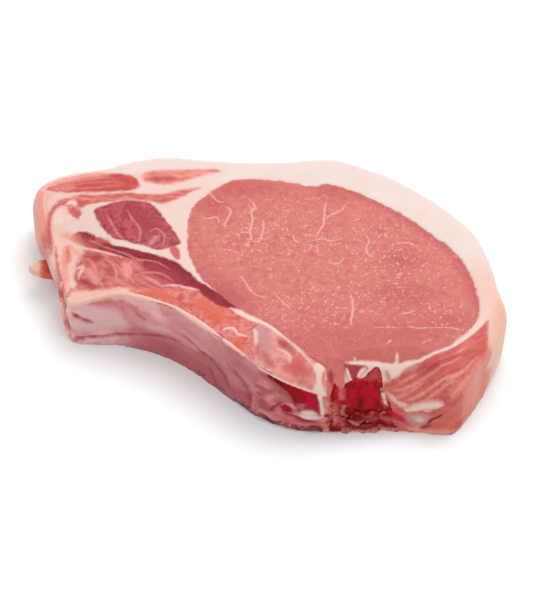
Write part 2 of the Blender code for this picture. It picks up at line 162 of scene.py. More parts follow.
# Veins of fat in the eye muscle: the points of each and its half-width, which fades to
# nothing at both ends
VEINS = [
    ([(-5, 30.2), (-3.4, 28.6), (-2.8, 25.6), (-4, 24.4), (-3.6, 20), (-4.4, 15.2),
      (-4, 12), (-4.8, 10.4), (-5.4, 8.6)], 0.36),
    ([(-7.6, 14.6), (-4.6, 14.4)], 0.22),
    ([(-3.8, 10.4), (-1.4, 10.4), (-0.4, 13.6), (0.2, 18)], 0.28),
    ([(0, 20.4), (0.2, 16)], 0.2),
    ([(-13, 26.8), (-11.6, 26), (-11, 24.2), (-11.8, 21.6), (-13, 18), (-12.6, 16.4)], 0.3),
    ([(-18.4, 35), (-17.4, 32), (-15.6, 29.4), (-13.6, 28.8)], 0.26),
    ([(-21.4, 22), (-19, 21), (-15.8, 21.8), (-14.6, 19)], 0.2),
    ([(21.6, 29.4), (21, 26), (20.6, 22), (20.4, 18.6), (18.6, 14.4), (17.6, 12)], 0.34),
    ([(28, 27.6), (26.4, 24.8), (22.6, 22.6), (20.6, 20)], 0.26),
    ([(17.4, 11), (20, 11.6), (22.4, 10.6), (25.6, 11.2)], 0.26),
    ([(10, 13.4), (10.6, 11), (12.4, 9.6)], 0.28),
    ([(18, 8.6), (18.4, 4)], 0.16),
    ([(29, -14.2), (29.4, -17), (29.2, -22), (28.6, -25), (29, -27.6)], 0.34),
    ([(-8, -4.6), (-6, -7.8), (-4.4, -11.4), (-2, -14), (0.4, -14.6)], 0.24),
    ([(4, -13.6), (6.2, -16.6), (9, -20.4)], 0.2),
    ([(-13, 7), (-9.4, 5.6), (-7.6, 4.4)], 0.2),
    ([(47, -27.4), (50, -28.4), (54, -28)], 0.24), ([(54, -28.2), (61, -28)], 0.14),
    ([(36, -28), (45, -28)], 0.12), ([(60, -28), (65, -29)], 0.2),
    ([(40, -35), (41.4, -33.4)], 0.3),
    ([(51, -34.8), (54.6, -33)], 0.2),
    ([(45, -22), (48, -21.4), (49.4, -19.6)], 0.26),
    ([(43.8, -10.4), (47, -10.6)], 0.16),
    ([(34, 14.6), (35.6, 10.6), (34.4, 7.4), (35.4, 3)], 0.28),
    ([(22, 0.6), (25.4, 0.4), (27, 3)], 0.2),
    ([(44, 9), (48.4, 9.8), (51, 8.2)], 0.2),
    ([(30.4, 20), (33, 21.4)], 0.26)]
# Parts of the eye muscle that are darker, and parts that are marbled. Each is X, Y,
# half-length, half-width, and the length's turn in degrees.
DARKER = (
    (-6, 36, 14, 6, 5), (-17, 28, 5, 6, 0), (23, 35, 7, 5, -20), (-12, -12, 12, 5, -45),
    (47, -14, 12, 6, 0), (26, -34, 20, 11, 0), (46, -31, 22, 9, 5), (62, -26, 9, 6, 0),
    (46, 2, 7, 5, 0))
MARBLED = (
    (6, 12, 30, 22, 0), (40, 0, 26, 26, 0), (58, -24, 14, 8, 0), (20, -18, 24, 16, 0))

# Touches of colour, laid over the main areas in this order. Each is a band, with its
# half-width, or an outline, with None; the last number is how softly it fades.
TOUCH_ORDER = ("peach", "apricot", "orange", "blush", "rose", "pearl", "mauve", "tan",
               "dark", "crimson", "blood", "gore", "clot", "line", "pale")
FACE_TOUCHES = {
    "apricot": [
        ([(65.6, -52), (69, -45.4), (73, -38), (76.6, -30), (79, -22), (79, -14)], 0.9, 1.6),
        ([(-78.6, 38), (-78, 31), (-76, 24), (-74, 15)], 0.6, 1.4)],
    "peach": [
        ([(-64, -6.5), (-60, -7.4), (-52, -9.8), (-45, -10.4), (-45, -14), (-62, -13)],
         None, 1.0),
        ([(-72, 18), (-70, 20), (-64, 17), (-60, 11), (-63, 4), (-64, -4), (-66, -7),
          (-68, 0), (-71, 9)], None, 1.6),
        # partly the rim's own warm fat and partly painted light: this rounded rim turns away from
        # the lamp, so this touch paints it lighter
        ([(74, -34), (75.6, -30), (76.4, -24), (76.4, -16), (75, -6)], 1.8, 1.8),
        ([(66, -53), (69.6, -45), (73.4, -37.6)], 0.4, 1.2),
        ([(68.6, -42), (71.6, -37.4), (74, -31)], 0.25, 0.8)],
    "orange": [
        ([(-66.5, 13.5), (-66, 9.5), (-66.5, 6)], 1.0, 1.6),
        ([(-40, -12.3), (-34, -13.6), (-29, -15.4)], 1.0, 1.2),
        ([(-22, -16.2), (-17, -20.6), (-12, -26)], 2.2, 1.8),
        ([(-9, -33.4), (-7, -36.8)], 1.6, 1.2),
        ([(60.5, -52.4), (64, -51.4), (66, -48.4)], 1.2, 1.2),
        ([(65.4, -50), (68, -45), (71, -39.4), (73, -34)], 1.0, 2.6)],
    "blush": [
        ([(-77, 41), (-70, 44), (-62, 45.6), (-54, 44.4)], 1.6, 2.2),
        ([(-73, 40), (-66, 39.6)], 0.8, 2.6),
        ([(-78, 40), (-77.6, 34), (-76.4, 27), (-75, 20)], 1.5, 1.6),
        ([(-60, 2.6), (-57, -1.6), (-55, -7)], 1.1, 1.6),
        ([(-46, 1), (-45, -6)], 0.9, 1.4),
        ([(-43.4, 2.6), (-44.6, 0), (-43.8, -2.6), (-44.2, -5), (-42.6, -8)], 0.25, 0.5),
        ([(-62, 8), (-58, 5), (-56, 0.6), (-55, -4), (-53, -8)], 0.3, 0.7),
        ([(-66, 15), (-62, 9), (-60.4, 6)], 0.4, 1.0),
        ([(-51, 2), (-49, -2), (-48.4, -7)], 0.25, 0.6),
        ([(-40, -5), (-36, -7.4), (-33, -10)], 0.3, 0.8),
        ([(-67.6, 12), (-66.8, 4), (-65.6, -3)], 0.8, 1.4),
        ([(-68.8, 18.6), (-65, 17.4), (-62.4, 15.8)], 1.2, 2.0),
        ([(42, -46.6), (49, -45.6), (57, -43.2), (64, -38.8)], 0.3, 0.4),
        ([(44, -45), (52, -42.9), (60, -39.2), (66, -34.8)], 0.3, 0.4),
        ([(46, -48.4), (53, -47.4), (60, -45.6), (65, -42)], 0.3, 0.4),
        ([(42, -47.8), (47, -47), (52, -45.6)], 0.2, 0.4),
        ([(52, -49), (58, -48), (62, -46)], 0.25, 0.4),
        ([(58, -47.6), (64, -43.2), (69, -37.4)], 0.3, 0.5),
        # painted light: the corner wall faces down and to the right, away from the lamp, and this
        # wide soft touch paints it lighter
        ([(61, -49.4), (66, -45), (70.6, -38)], 0.6, 2.4),
        ([(62, -48), (67, -42.6), (71, -36.6)], 0.25, 0.5)],
    "rose": [
        ([(-64, 17), (-60, 13.6), (-56, 10.6)], 1.0, 3.0),
        ([(-57, 14.2), (-52, 11.8)], 0.8, 1.4),
        ([(-66, 33.4), (-70.4, 31.8), (-73, 28.6), (-74.2, 24), (-74, 18), (-72, 11)],
         0.9, 1.0),
        ([(-66.5, 30), (-64, 27.8), (-63.5, 25.5)], 1.7, 1.0),
        ([(-71, 14), (-69.6, 7), (-68, 1), (-66, -5)], 0.5, 0.8),
        ([(-31, 8.6), (-28.6, 8), (-27.6, 4), (-28.8, 2.4), (-31, 5.6)], None, 0.6)],
    "mauve": [
        ([(39.4, -42.8), (41, -44.4)], 0.8, 0.6),
        ([(45, -42.6), (50, -41.6)], 0.4, 0.7)],
    "dark": [
        ([(-40, 1), (-35, -3), (-30, -6), (-27, -8)], 2.4, 2.4),
        ([(-44, 25), (-40, 19), (-34, 16)], 3.0, 3.5),
        ([(-38, 40.8), (-32, 40.6)], 1.0, 3.0),
        ([(21.6, -44.6), (22, -47.6)], 0.8, 0.7),
        ([(26.6, -41.9), (33.6, -42), (31, -44.6), (28, -46.4), (26.4, -44)], None, 0.7),
        ([(-61, -2.5), (-57, -6), (-54, -8)], 0.7, 1.2),
        ([(-60, 7.5), (-54, 4.5)], 1.2, 1.8),
        ([(50, -43.6), (57, -41.4), (62, -38.2)], 0.9, 2.0)],
    "line": [
        ([(-46.2, 25), (-44.2, 20.6), (-42, 17), (-41.4, 13.6), (-42, 10)], 0.3, 0.5),
        ([(-53, 23.6), (-51.2, 19.4), (-49, 14.5), (-46.8, 11.4)], 0.3, 0.5),
        ([(-38, 15), (-35.8, 16.2), (-33.2, 13), (-33.6, 9)], 0.3, 0.5),
        ([(-38, 9.6), (-35, 13)], 0.9, 1.2),
        ([(-48, 6.2), (-42, 2.8), (-36, 1.4), (-31, -2)], 0.2, 0.5),
        ([(-56, 12), (-50, 7.4), (-44, 4.4)], 0.2, 0.5),
        ([(-59, 14.6), (-54, 10.6)], 0.24, 0.4),
        ([(-42, -4.4), (-37, -3.2), (-33, -4.4), (-29.5, -7.4)], 0.3, 0.5),
        ([(-60, 33.2), (-50, 31), (-40, 30.6), (-34, 31)], 0.24, 0.4),
        ([(-72, 41.4), (-62, 42.6), (-52, 42)], 0.24, 0.6),
        ([(-68, 39.6), (-58, 38.2), (-50, 37.4)], 0.2, 0.6),
        ([(-56, -2), (-50, -5.4), (-46, -9)], 0.3, 0.7),
        ([(-53, 3.6), (-49, 0), (-46.4, -4)], 0.24, 0.6),
        ([(-66, 41), (-56, 40.4), (-48, 38.6)], 0.2, 0.6)],
    "pale": [
        ([(-10.5, -19.5), (-5, -23), (0, -26.2), (5, -30)], 1.2, 0.6),
        ([(4, -29.2), (7, -31.8), (12, -37.2), (17, -43)], 0.4, 0.4),
        ([(26.6, -41.5), (31, -41.1), (36, -40.7), (41, -41.2)], 0.4, 0.4),
        ([(40.4, -41.8), (43, -41), (46.4, -41), (45, -42.4), (43, -43.8), (41.6, -44)],
         None, 0.6),
        ([(45, -40.8), (51, -39.9), (56, -37.8), (61, -35), (66, -31)], 0.42, 0.5),
        ([(61, -34.9), (66, -30.6), (70, -26.8), (73, -22.5), (75, -19)], 0.8, 0.8),
        ([(43, -41.5), (43.2, -38.2)], 0.5, 0.5),
        ([(29.4, -41.4), (29.6, -39.6)], 0.3, 0.5),
        ([(26.8, -43.2), (27.6, -45), (28.6, -46.6)], 0.45, 0.4),
        ([(30.4, -44.8), (31.6, -43.4), (33, -42.4)], 0.45, 0.4),
        ([(39.6, -46.8), (44, -48.8), (48, -49.4)], 0.3, 0.5),
        ([(46, -49.9), (51, -49.9), (56, -50.8), (59, -52.4)], 0.7, 0.6),
        ([(-67.6, 32), (-65.4, 32.8), (-64.4, 31)], 0.8, 0.7),
        ([(-69.8, 29), (-69.2, 26), (-70, 23.6)], 1.0, 0.8),
        ([(-66.6, 27.4), (-66.2, 25)], 0.6, 0.7),
        ([(-68.5, 17.5), (-62.5, 12.9), (-55.5, 8.6), (-50, 5), (-47, 3.4)], 0.35, 0.6),
        ([(-62.6, 3.6), (-60.6, 3), (-61.6, -0.6)], 0.5, 0.9),
        ([(-64, -1), (-63, -5)], 0.8, 1.0),
        ([(-33, -9.4), (-28, -9.2), (-25, -10.5), (-21, -11.4)], 0.35, 0.6),
        ([(-76.2, 37), (-76.4, 32), (-75.6, 26)], 0.2, 0.5),
        ([(-13, -28.8), (-10, -28), (-8, -30.8), (-4.5, -32)], 0.4, 0.6)]}
WALL_TOUCHES = {
    "blush": [
        ([(47, 2), (54, 1), (62, 1.4)], 1.2, 1.4)],
    "orange": [
        ([(59.4, 1.4), (61, 5), (62.4, 8)], 1.5, 1.2)],
    "mauve": [
        ([(46.4, 8), (47.6, 4.6), (51, 3), (53.4, 6), (53.6, 8.8), (50.5, 9.4)], None, 1.1)],
    "dark": [
        ([(51.4, 2.2), (54, 4)], 0.8, 0.8)],
    "blood": [
        ([(53.2, 4.4), (54.6, 6.8), (56.6, 8.6), (58.4, 10.4)], 0.45, 0.35)],
    "gore": [
        ([(38, 11.4), (41, 9), (44, 6.4), (46, 5)], 1.4, 0.8)],
    "pale": [
        ([(49.4, 6.8), (51.6, 6)], 0.6, 1.8),
        ([(44.6, 10.2), (48, 10), (50, 11.6), (53, 11), (55, 13), (57.6, 14.8)], 0.6,
         0.5)]}

BONE_FACE_TOUCHES = {
    "peach": [
        ([(-4, -38), (-3.4, -42), (0, -44.6)], 1.4, 1.2)],
    "blush": [
        ([(2, -30), (4, -31.6), (3.6, -36)], 0.7, 1.2),
        ([(0.4, -43), (5, -45.6), (10, -47.6)], 0.8, 1.4)],
    "rose": [
        ([(9, -41), (11.6, -40.4), (15, -45.4), (13, -46.8), (8, -45)], None, 2.2)],
    "mauve": [
        ([(-3.2, -28), (0.8, -27.8), (2.2, -31), (2.6, -36), (1, -38), (-1, -35)],
         None, 2.2),
        ([(6.8, -41.6), (8.6, -42)], 0.6, 0.8)],
    "tan": [
        ([(0, -38.6), (1.4, -41.4), (3.4, -43.4)], 1.0, 1.6),
        ([(-1.6, -36), (-1.4, -39)], 0.5, 1.0),
        ([(5.2, -33), (7.8, -35.6), (10, -38.6)], 1.3, 1.4)],
    "dark": [
        ([(5.6, -33.6), (7.2, -35.4)], 0.6, 1.6)],
    "pale": [
        ([(-4.4, -24.6), (-1, -25), (2, -27.2), (5, -30), (7, -32.4)], 0.7, 0.6),
        # painted highlight: a pale streak where the wet gristle shines
        ([(-3.2, -28.6), (-2.2, -31), (-2.4, -35)], 0.5, 1.0),
        ([(4.4, -36.6), (7, -38), (8.6, -40), (8.4, -42.4)], 0.3, 0.9),
        ([(5, -30), (8, -33.3), (12, -38), (16, -43.4)], 0.3, 0.5),
        ([(-1, -44), (2, -45.9), (6, -47.8), (10, -49.2), (15, -50), (19, -50.4)],
         0.35, 0.5),
        ([(16, -43.4), (18, -42.6), (20, -43.8), (18.9, -46), (18.9, -48),
          (20.6, -50.6), (15.6, -50.6), (17, -48), (17, -46)], None, 0.5)]}
BONE_WALL_TOUCHES = {
    "blush": [
        ([(20.4, 17), (20.6, 12), (20.6, 6)], 0.6, 1.0),
        ([(2, 1.6), (9, 1.2), (15, 1), (21, 1.4)], 0.6, 1.0),
        ([(1, 10), (3.4, 13.4)], 0.6, 1.4)],
    "rose": [
        ([(4, 4.4), (9, 3.8), (15, 3), (20, 3)], 1.2, 1.8),
        ([(20, 3), (23, 8), (23, 15)], 1.0, 1.6)],
    "tan": [
        ([(2.4, 21.2), (5, 20), (8, 17.9), (9.3, 16), (9.8, 13.6), (7.6, 13.4), (5.2, 15),
          (3, 18)], None, 0.8),
        ([(11.4, 12.4), (12.8, 10.8)], 1.5, 0.8)],
    "dark": [
        ([(2, 4.4), (4, 8.4), (6, 12)], 0.4, 0.7),
        ([(5.6, 6.6), (10, 6), (13, 4.6), (17, 4.4)], 0.7, 1.0),
        ([(12.4, 4), (16, 4.6)], 0.7, 0.8)],
    "gore": [
        ([(8, 22.2), (12, 20.8), (15, 19.1), (17.6, 17.4), (18.2, 14), (18, 11),
          (16.4, 10.6), (14.5, 13), (12.4, 17.4), (10, 20)], None, 0.5),
        ([(1.4, 23.4), (5, 22.8), (9, 21.4), (13, 19.8), (16, 18.2)], 0.5, 0.4)],
    "crimson": [
        ([(22.6, 14), (21.6, 11.6)], 0.5, 0.8),
        ([(20.8, 9), (22, 7), (21, 4.4)], 0.6, 0.9),
        ([(11, 2.4), (15, 1.6), (20, 2)], 0.45, 0.8)],
    "line": [
        ([(20.4, 12), (21.8, 10), (22, 8.6)], 0.25, 0.6),
        ([(19.6, 5), (21, 5.6), (22.4, 4.6)], 0.25, 0.6),
        ([(9, 3.4), (13, 3.2), (18, 3.4)], 0.2, 0.6)],
    "clot": [
        ([(6, 9.8), (7.6, 9.4), (9, 8.4)], 1.8, 0.6),
        ([(1.4, 23.6), (5, 22.8), (8, 21.8), (10.6, 20.6), (12.8, 18.4), (14, 16),
          (14, 14.2), (12.4, 13.2), (10.2, 13.4), (9, 15.6), (7.6, 18), (5, 20)],
         None, 0.5)],
    "pale": [
        ([(17.8, 19.4), (18.5, 16), (19, 12), (19.3, 7.6)], 0.7, 0.5),
        ([(11.8, 7.4), (13.4, 5.9), (15, 5.6), (17, 6.3), (19.2, 7), (17.6, 8.6),
          (15.8, 9.9), (13.4, 9.8), (12, 8.8)], None, 0.9)]}
MARROW_FACE_TOUCHES = {
    "rose": [
        ([(34, -44.6), (37.4, -44)], 0.5, 1.6),
        ([(24.6, -48.6), (26, -50)], 1.2, 1.0)],
    "pale": [
        ([(38.6, -47), (39.6, -49)], 0.5, 1.0)],
    "blood": [
        ([(28, -51), (34, -51.4)], 1.0, 1.8)]}
MARROW_WALL_TOUCHES = {
    "blush": [
        ([(26, 0.8), (38, 0.6), (46, 0.8)], 0.6, 1.4),
        ([(38.6, 19), (39.4, 14), (42, 11.4)], 0.6, 0.7)],
    "rose": [
        ([(22.6, 15), (24, 8), (26.4, 3)], 1.0, 1.6),
        ([(37.6, 8), (40, 5.4), (44, 3)], 0.9, 1.2),
        ([(32.4, 7), (35.8, 6)], 1.0, 2.0)],
    "blood": [
        ([(26, 9.4), (30, 6), (33, 3)], 1.6, 3.0)],
    "gore": [
        ([(36.6, 14), (40, 11), (43, 8), (46, 5)], 1.4, 0.9)],
    "line": [
        ([(22, 12), (23.2, 8), (23, 4)], 0.4, 1.0),
        ([(26.4, 12.6), (25.6, 9.6), (27, 8)], 0.3, 0.8),
        ([(28, 5), (31, 3.6), (33, 4.4)], 0.3, 0.7)]}
MEMBRANE_TOUCHES = {
    "rose": [
        ([(-57, 19.6), (-50, 20.8), (-44, 20.8), (-41, 18.4)], 0.7, 2.0),
        ([(-46, 8), (-38, 9.6), (-30, 10)], 0.8, 2.6),
        ([(-24.6, 3.4), (-23, 2)], 0.8, 1.2)],
    # the membrane's own pale bluish white, and painted highlight: these pale patches also stand
    # in for the broad soft shine of the wet membrane
    "pearl": [
        ([(-60, 16), (-52, 17.4), (-47, 14), (-47, 9), (-60, 7)], None, 3.5),
        ([(-64.4, 10), (-62, 6)], 1.4, 1.4),
        ([(-40, 13), (-34, 13)], 0.6, 3.4)],
    "tan": [
        ([(-24, 9), (-19, 12), (-14, 14), (-11, 9), (-16, 6)], None, 2.4)],
    "dark": [
        ([(-63.4, 14.6), (-60, 12.4), (-57, 10.8)], 0.8, 1.2),
        # painted shade: this long low line and the short one at its left end darken the slit
        # between membrane and flesh, over a shallow groove; the other dark touches are the
        # membrane's own dark streaks
        ([(-62, 3), (-55, 3.8), (-48, 5), (-40, 7), (-34, 8.8), (-28, 9.8)], 0.45, 0.8),
        ([(-63, 2.4), (-60, 2.6)], 0.7, 1.0),
        ([(-22, 12.4), (-18, 12), (-14, 9), (-11.4, 5)], 0.7, 1.0),
        ([(-27, 15.4), (-22, 13.4), (-18.6, 10)], 0.5, 0.8),
        ([(-11.4, 16.4), (-7, 12), (-4, 8)], 0.5, 0.9),
        ([(-9, 15), (-5.4, 11), (-4, 5), (-1, 3)], 1.0, 2.6),
        ([(-43, 18.6), (-41, 17), (-38.6, 16)], 0.3, 0.8),
        ([(-18, 6), (-15.6, 2.4)], 0.5, 1.0)]}

# The spinal canal, opened by the saw: its outline on the wall as X and height, and how
# deep it is scooped under the lip
CANAL = [(1.2, 22.8), (6, 22), (10, 20.9), (15, 19), (17.6, 17.4), (18.6, 13.4),
         (18.5, 8.6), (15.6, 7), (12.4, 7.8), (10.8, 11), (8.6, 13.6), (4.4, 17.6)]
CANAL_DEEP, CANAL_SLOPE = 3.4, 11.0

# The scraps: the line of the torn membrane along the wall's foot, the line of the loose
# strand down the tail end's corner, and the sawn wall that the crumbs stick to
FOOT_LINE = [(-29, -19.6), (-24, -23.2), (-18, -28.4), (-12, -34.2), (-8, -38.2),
             (-3, -42.8), (1, -45.6), (6, -47.9), (12, -49.6), (19, -50.7)]
STRAND = [(-67.2, -1, 17), (-66.8, -4, 13), (-66.2, -6.6, 9), (-65.8, -8.6, 5),
          (-64.6, -10.8, 2.2), (-63, -12, 1.2)]
SAWN_WALL = ((20, -50.4), (34, -50), (48, -50.5))
CRUMBS = 60
FLOOR_GAP = 0.1     # the shreds and the strand stay this far above the floor

SLANT = 1.1     # touches in a hollow of the wall are laid along this slant
LIGHT = 1.5     # how strongly the studio's light falls on an upper face
GLOSS = 0.02    # what the moist surface adds to it by reflecting the white studio
CAMERA_TARGET = (2.25, -5.16, 12.5)
CAMERA_FAR = 750.0
CAMERA_ABOVE = math.radians(48.0)
LENS = 134.1


def screen(red, green, blue):
    """A colour as it should show on a screen under the studio's light, 0 to 255, as the
    linear values of its surface."""
    shares = [channel / 255 for channel in (red, green, blue)]
    linear = [s / 12.92 if s <= 0.04045 else ((s + 0.055) / 1.055) ** 2.4 for s in shares]
    return tuple(max(value - GLOSS, 0.0) / LIGHT for value in linear)


def length(label, default, note):
    """A length that a user may change."""
    return FloatProperty(name=label, default=default, description=note, unit="LENGTH",
                         subtype="DISTANCE", min=0.0, precision=5)


def colour(label, values, note):
    """A colour that a user may change."""
    return FloatVectorProperty(name=label, default=screen(*values), description=note,
                               subtype="COLOR", size=3, min=0.0, max=1.0)


class ChopSizes(bpy.types.PropertyGroup):
    """Sizes of the chop's surface."""
    fineness: length("Fineness", 0.0009, "Size of the faces that the flesh is first made of")
    bone_fineness: length("Bone fineness", 0.00045, "Size of the faces of bone and membrane")
    seam: length("Seam", 0.0003, "Depth of the crease round the eye muscle")
    cap_edge: length("Fat edge", 0.0024, "Radius of the fat cap's edges")
    rib_edge: length("Rib edge", 0.0008, "Radius of the edge along the rib")
    membrane: length("Membrane", 0.0016, "Thickness of the membrane over the rib")


class ChopColours(bpy.types.PropertyGroup):
    """Colours of the chop's materials."""
    fat: colour("Fat", (243, 225, 218), "The fat cap")
    seam_fat: colour("Seam fat", (244, 207, 196), "Fat between the muscles")
    tail_fat: colour("Tail fat", (240, 184, 168), "Warmer fat at the tail end")
    lean: colour("Lean", (218, 119, 111), "The eye muscle")
    lean_light: colour("Light lean", (225, 137, 127), "Pale grain of the eye muscle")
    lean_deep: colour("Deep lean", (202, 98, 98), "Darker parts of the eye muscle")
    vein: colour("Veins", (245, 194, 179), "Fat in the eye muscle")
    dark_lean: colour("Dark lean", (168, 60, 74), "The rib cap muscle")
    dark_light: colour("Light dark lean", (202, 96, 104), "Its lighter parts")
    strip_lean: colour("Strip", (142, 34, 50), "The darkest muscle")
    strip_light: colour("Light strip", (159, 50, 62), "Its lighter parts")
    belly_lean: colour("Belly", (202, 76, 76), "The thin muscle of the belly")
    belly_light: colour("Light belly", (221, 105, 95), "Its lighter parts")
    flank_lean: colour("Flank", (236, 126, 116), "The thin muscle of the flank")
    flank_light: colour("Light flank", (248, 162, 148), "Its lighter parts")
    skin_lean: colour("Skin muscle", (212, 98, 92), "The thin muscle under the fat")
    rib_lean: colour("Rib meat", (202, 92, 92), "Meat between the ribs")
    rib_light: colour("Light rib meat", (226, 134, 126), "Its lighter parts")
    rim_lean: colour("Rim meat", (216, 98, 90), "Orange-red meat along the rib")
    rim_light: colour("Light rim meat", (235, 147, 137), "Its lighter parts")
    back_lean: colour("Back", (210, 98, 94), "The back muscle")
    back_light: colour("Light back", (224, 118, 110), "Its lighter parts")
    membrane: colour("Membrane", (252, 194, 192), "Membrane over the rib")
    membrane_deep: colour("Deep membrane", (232, 150, 152), "Darker membrane")
    membrane_low: colour("Low membrane", (182, 82, 93), "Membrane near its lower edge")
    bone: colour("Bone", (236, 160, 154), "Cut bone and gristle by the backbone")
    bone_deep: colour("Deep bone", (220, 126, 122), "Darker cut bone")
    marrow: colour("Marrow", (190, 4, 56), "Sawn marrow")
    marrow_light: colour("Light marrow", (220, 56, 72), "Torn marrow")
    peach: colour("Peach", (250, 201, 186), "Warm soft fat")
    apricot: colour("Apricot", (249, 190, 156), "Yellowish soft fat")
    orange: colour("Orange", (230, 114, 92), "Orange-red patches")
    blush: colour("Blush", (245, 164, 150), "Thin fat over lean")
    rose: colour("Rose", (214, 106, 102), "Thin sheets of muscle")
    # partly painted highlight: this pale bluish white also stands in for the broad shine of the
    # wet membrane
    pearl: colour("Pearl", (240, 192, 196), "Bluish white membrane")
    mauve: colour("Mauve", (209, 149, 150), "Bluish patches")
    tan: colour("Tan", (192, 112, 108), "Brownish patches of bone")
    dark: colour("Dark", (178, 68, 76), "Dark red patches")
    crimson: colour("Crimson", (150, 4, 34), "Fresh blood in the bone")
    blood: colour("Blood", (134, 0, 24), "Clotted blood in the bone")
    gore: colour("Canal blood", (208, 10, 62), "Fresh blood in the canal")
    clot: colour("Canal clot", (172, 4, 44), "Clotted blood in the canal")
    line: colour("Lines", (224, 146, 144), "Thin sheets of fat in dark muscle")
    pale: colour("Pale", (248, 214, 202), "White connective tissue")
    tag_fat: colour("Tag fat", (244, 200, 172), "The scrap of fat at the tail end")
    tag_root: colour("Tag root", (232, 84, 54), "Its red root")
    # painted shade: the darkest colour of the torn membrane, laid low down and in its hollows
    shred_deep: colour("Deep shred", (112, 44, 64), "Hollows of the torn membrane")
    shred: colour("Shred", (150, 70, 84), "Torn membrane")
    crumb: colour("Crumbs", (186, 30, 56), "Crumbs of marrow")
    # painted highlight on the crumbs, laid where a noise is high
    crumb_highlight: colour("Light crumbs", (224, 96, 108), "Their crests")
    floor: FloatVectorProperty(name="Floor", description="The floor", subtype="COLOR",
                               size=3, min=0.0, max=1.0, default=(0.765, 0.785, 0.785))


class ChopStage(bpy.types.PropertyGroup):
    """Light of the stage."""
    sky: FloatProperty(name="Sky", default=1.15, min=0.0,
                       description="Strength of the even light from all sides")
    key: FloatProperty(name="Key", default=5.0, min=0.0, unit="POWER",
                       description="Power of the large soft lamp")


# ---------------------------------------------------------------- curves and distances

def smooth(t):
    """0 below 0, 1 above 1, and an even S between."""
    t = np.clip(t, 0.0, 1.0)
    return t * t * (3 - 2 * t)


def rise(value, start, full):
    """0 up to the start, 1 from full on, and an even S between. Full may be the lower."""
    return smooth((value - start) / (full - start))


def bell(t):
    """1 at 0, falling evenly to 0 on both sides."""
    return np.exp(-np.square(t))


def spline(points, step, closed=True, datum=DATUM):
    """Points every step along a smooth curve through the given points (a Catmull-Rom
    spline), moved by the datum."""
    pts = np.array(points, float) + datum
    if not closed:
        pts = np.vstack((2 * pts[0] - pts[1], pts, 2 * pts[-1] - pts[-2]))
    fine = []
    for i in range(len(pts) if closed else len(pts) - 3):
        start = i if closed else i + 1
        a, b, c, d = (pts[(start + k) % len(pts)] for k in (-1, 0, 1, 2))
        for t in np.arange(0.0, 1.0, 0.05):
            fine.append(0.5 * (2 * b + (c - a) * t + (2 * a - 5 * b + 4 * c - d) * t ** 2
                               + (3 * b - a - 3 * c + d) * t ** 3))
    fine = np.array(fine + ([fine[0]] if closed else [pts[-2]]))
    run = np.concatenate(([0.0], np.cumsum(np.linalg.norm(np.diff(fine, axis=0), axis=1))))
    count = max(4, round(run[-1] / step)) + (0 if closed else 1)
    at = np.linspace(0.0, run[-1], count, endpoint=not closed)
    return np.column_stack([np.interp(at, run, fine[:, k]) for k in range(fine.shape[1])])


def nearest(line, places, closed):
    """For each place its distance to a line, the number of the nearest stretch, and how
    far along that stretch the nearest point is."""
    starts = line if closed else line[:-1]
    along = (np.roll(line, -1, axis=0) if closed else line[1:]) - starts
    squared = np.sum(along * along, axis=1)
    far, which, share = (np.empty(len(places)), np.empty(len(places), int),
                         np.empty(len(places)))
    for low in range(0, len(places), 8000):
        part = slice(low, low + 8000)
        off = places[part, None, :] - starts[None]
        t = np.clip(np.einsum("ijk,jk->ij", off, along) / squared, 0.0, 1.0)
        gap = np.linalg.norm(off - along[None] * t[:, :, None], axis=2)
        k = np.argmin(gap, axis=1)
        rows = np.arange(len(k))
        far[part], which[part], share[part] = gap[rows, k], k, t[rows, k]
    return far, which, share


def within(outline, xy):
    """Whether each place lies inside an outline."""
    ends = np.roll(outline, -1, axis=0)
    rise = ends[:, 1] - outline[:, 1]
    rise = np.where(rise == 0, 1.0, rise)
    found = np.empty(len(xy), bool)
    for low in range(0, len(xy), 8000):
        y = xy[low:low + 8000, 1:]
        x = xy[low:low + 8000, :1]
        spans = (outline[:, 1] > y) != (ends[:, 1] > y)
        meets = x < (ends - outline)[:, 0] * (y - outline[:, 1]) / rise + outline[:, 0]
        found[low:low + 8000] = np.sum(spans & meets, axis=1) % 2 == 1
    return found


def depth_in(outline, xy, reach=8.0):
    """How deep each place lies inside an outline, less than 0 outside it, to reach."""
    depth = np.full(len(xy), -reach)
    near = np.all((xy > outline.min(0) - reach) & (xy < outline.max(0) + reach), axis=1)
    if near.any():
        far = nearest(outline, xy[near], True)[0]
        depth[near] = np.where(within(outline, xy[near]), far, -far)
    return np.maximum(depth, -reach)


def depth_in_band(path, half_width, places, reach=4.0, datum=DATUM):
    """How deep each place lies inside a band along a path, less than 0 outside it. The
    band narrows at both ends."""
    line = spline(path, 0.6, closed=False, datum=datum)
    depth = np.full(len(places), -reach)
    near = np.all((places > line.min(0) - reach) & (places < line.max(0) + reach), axis=1)
    if near.any():
        far, which, share = nearest(line, places[near], False)
        at = (which + share) / (len(line) - 1)
        taper = smooth(np.minimum(at, 1 - at) / 0.2)
        depth[near] = half_width * (0.3 + 0.7 * taper) - far
    return np.maximum(depth, -reach)


def touches(table, places, datum=DATUM):
    """For each of a table's colours, how far inside its touches each place lies, counted
    in how softly they fade: wholly inside from 1, wholly outside from -1."""
    found = {}
    for name, patches in table.items():
        found[name] = np.full(len(places), -3.0)
        for points, half_width, soft in patches:
            if half_width is None:
                deep = depth_in(spline(points, 0.8, datum=datum), places)
            else:
                deep = depth_in_band(points, half_width, places, datum=datum)
            found[name] = np.maximum(found[name], deep / soft)
    return found


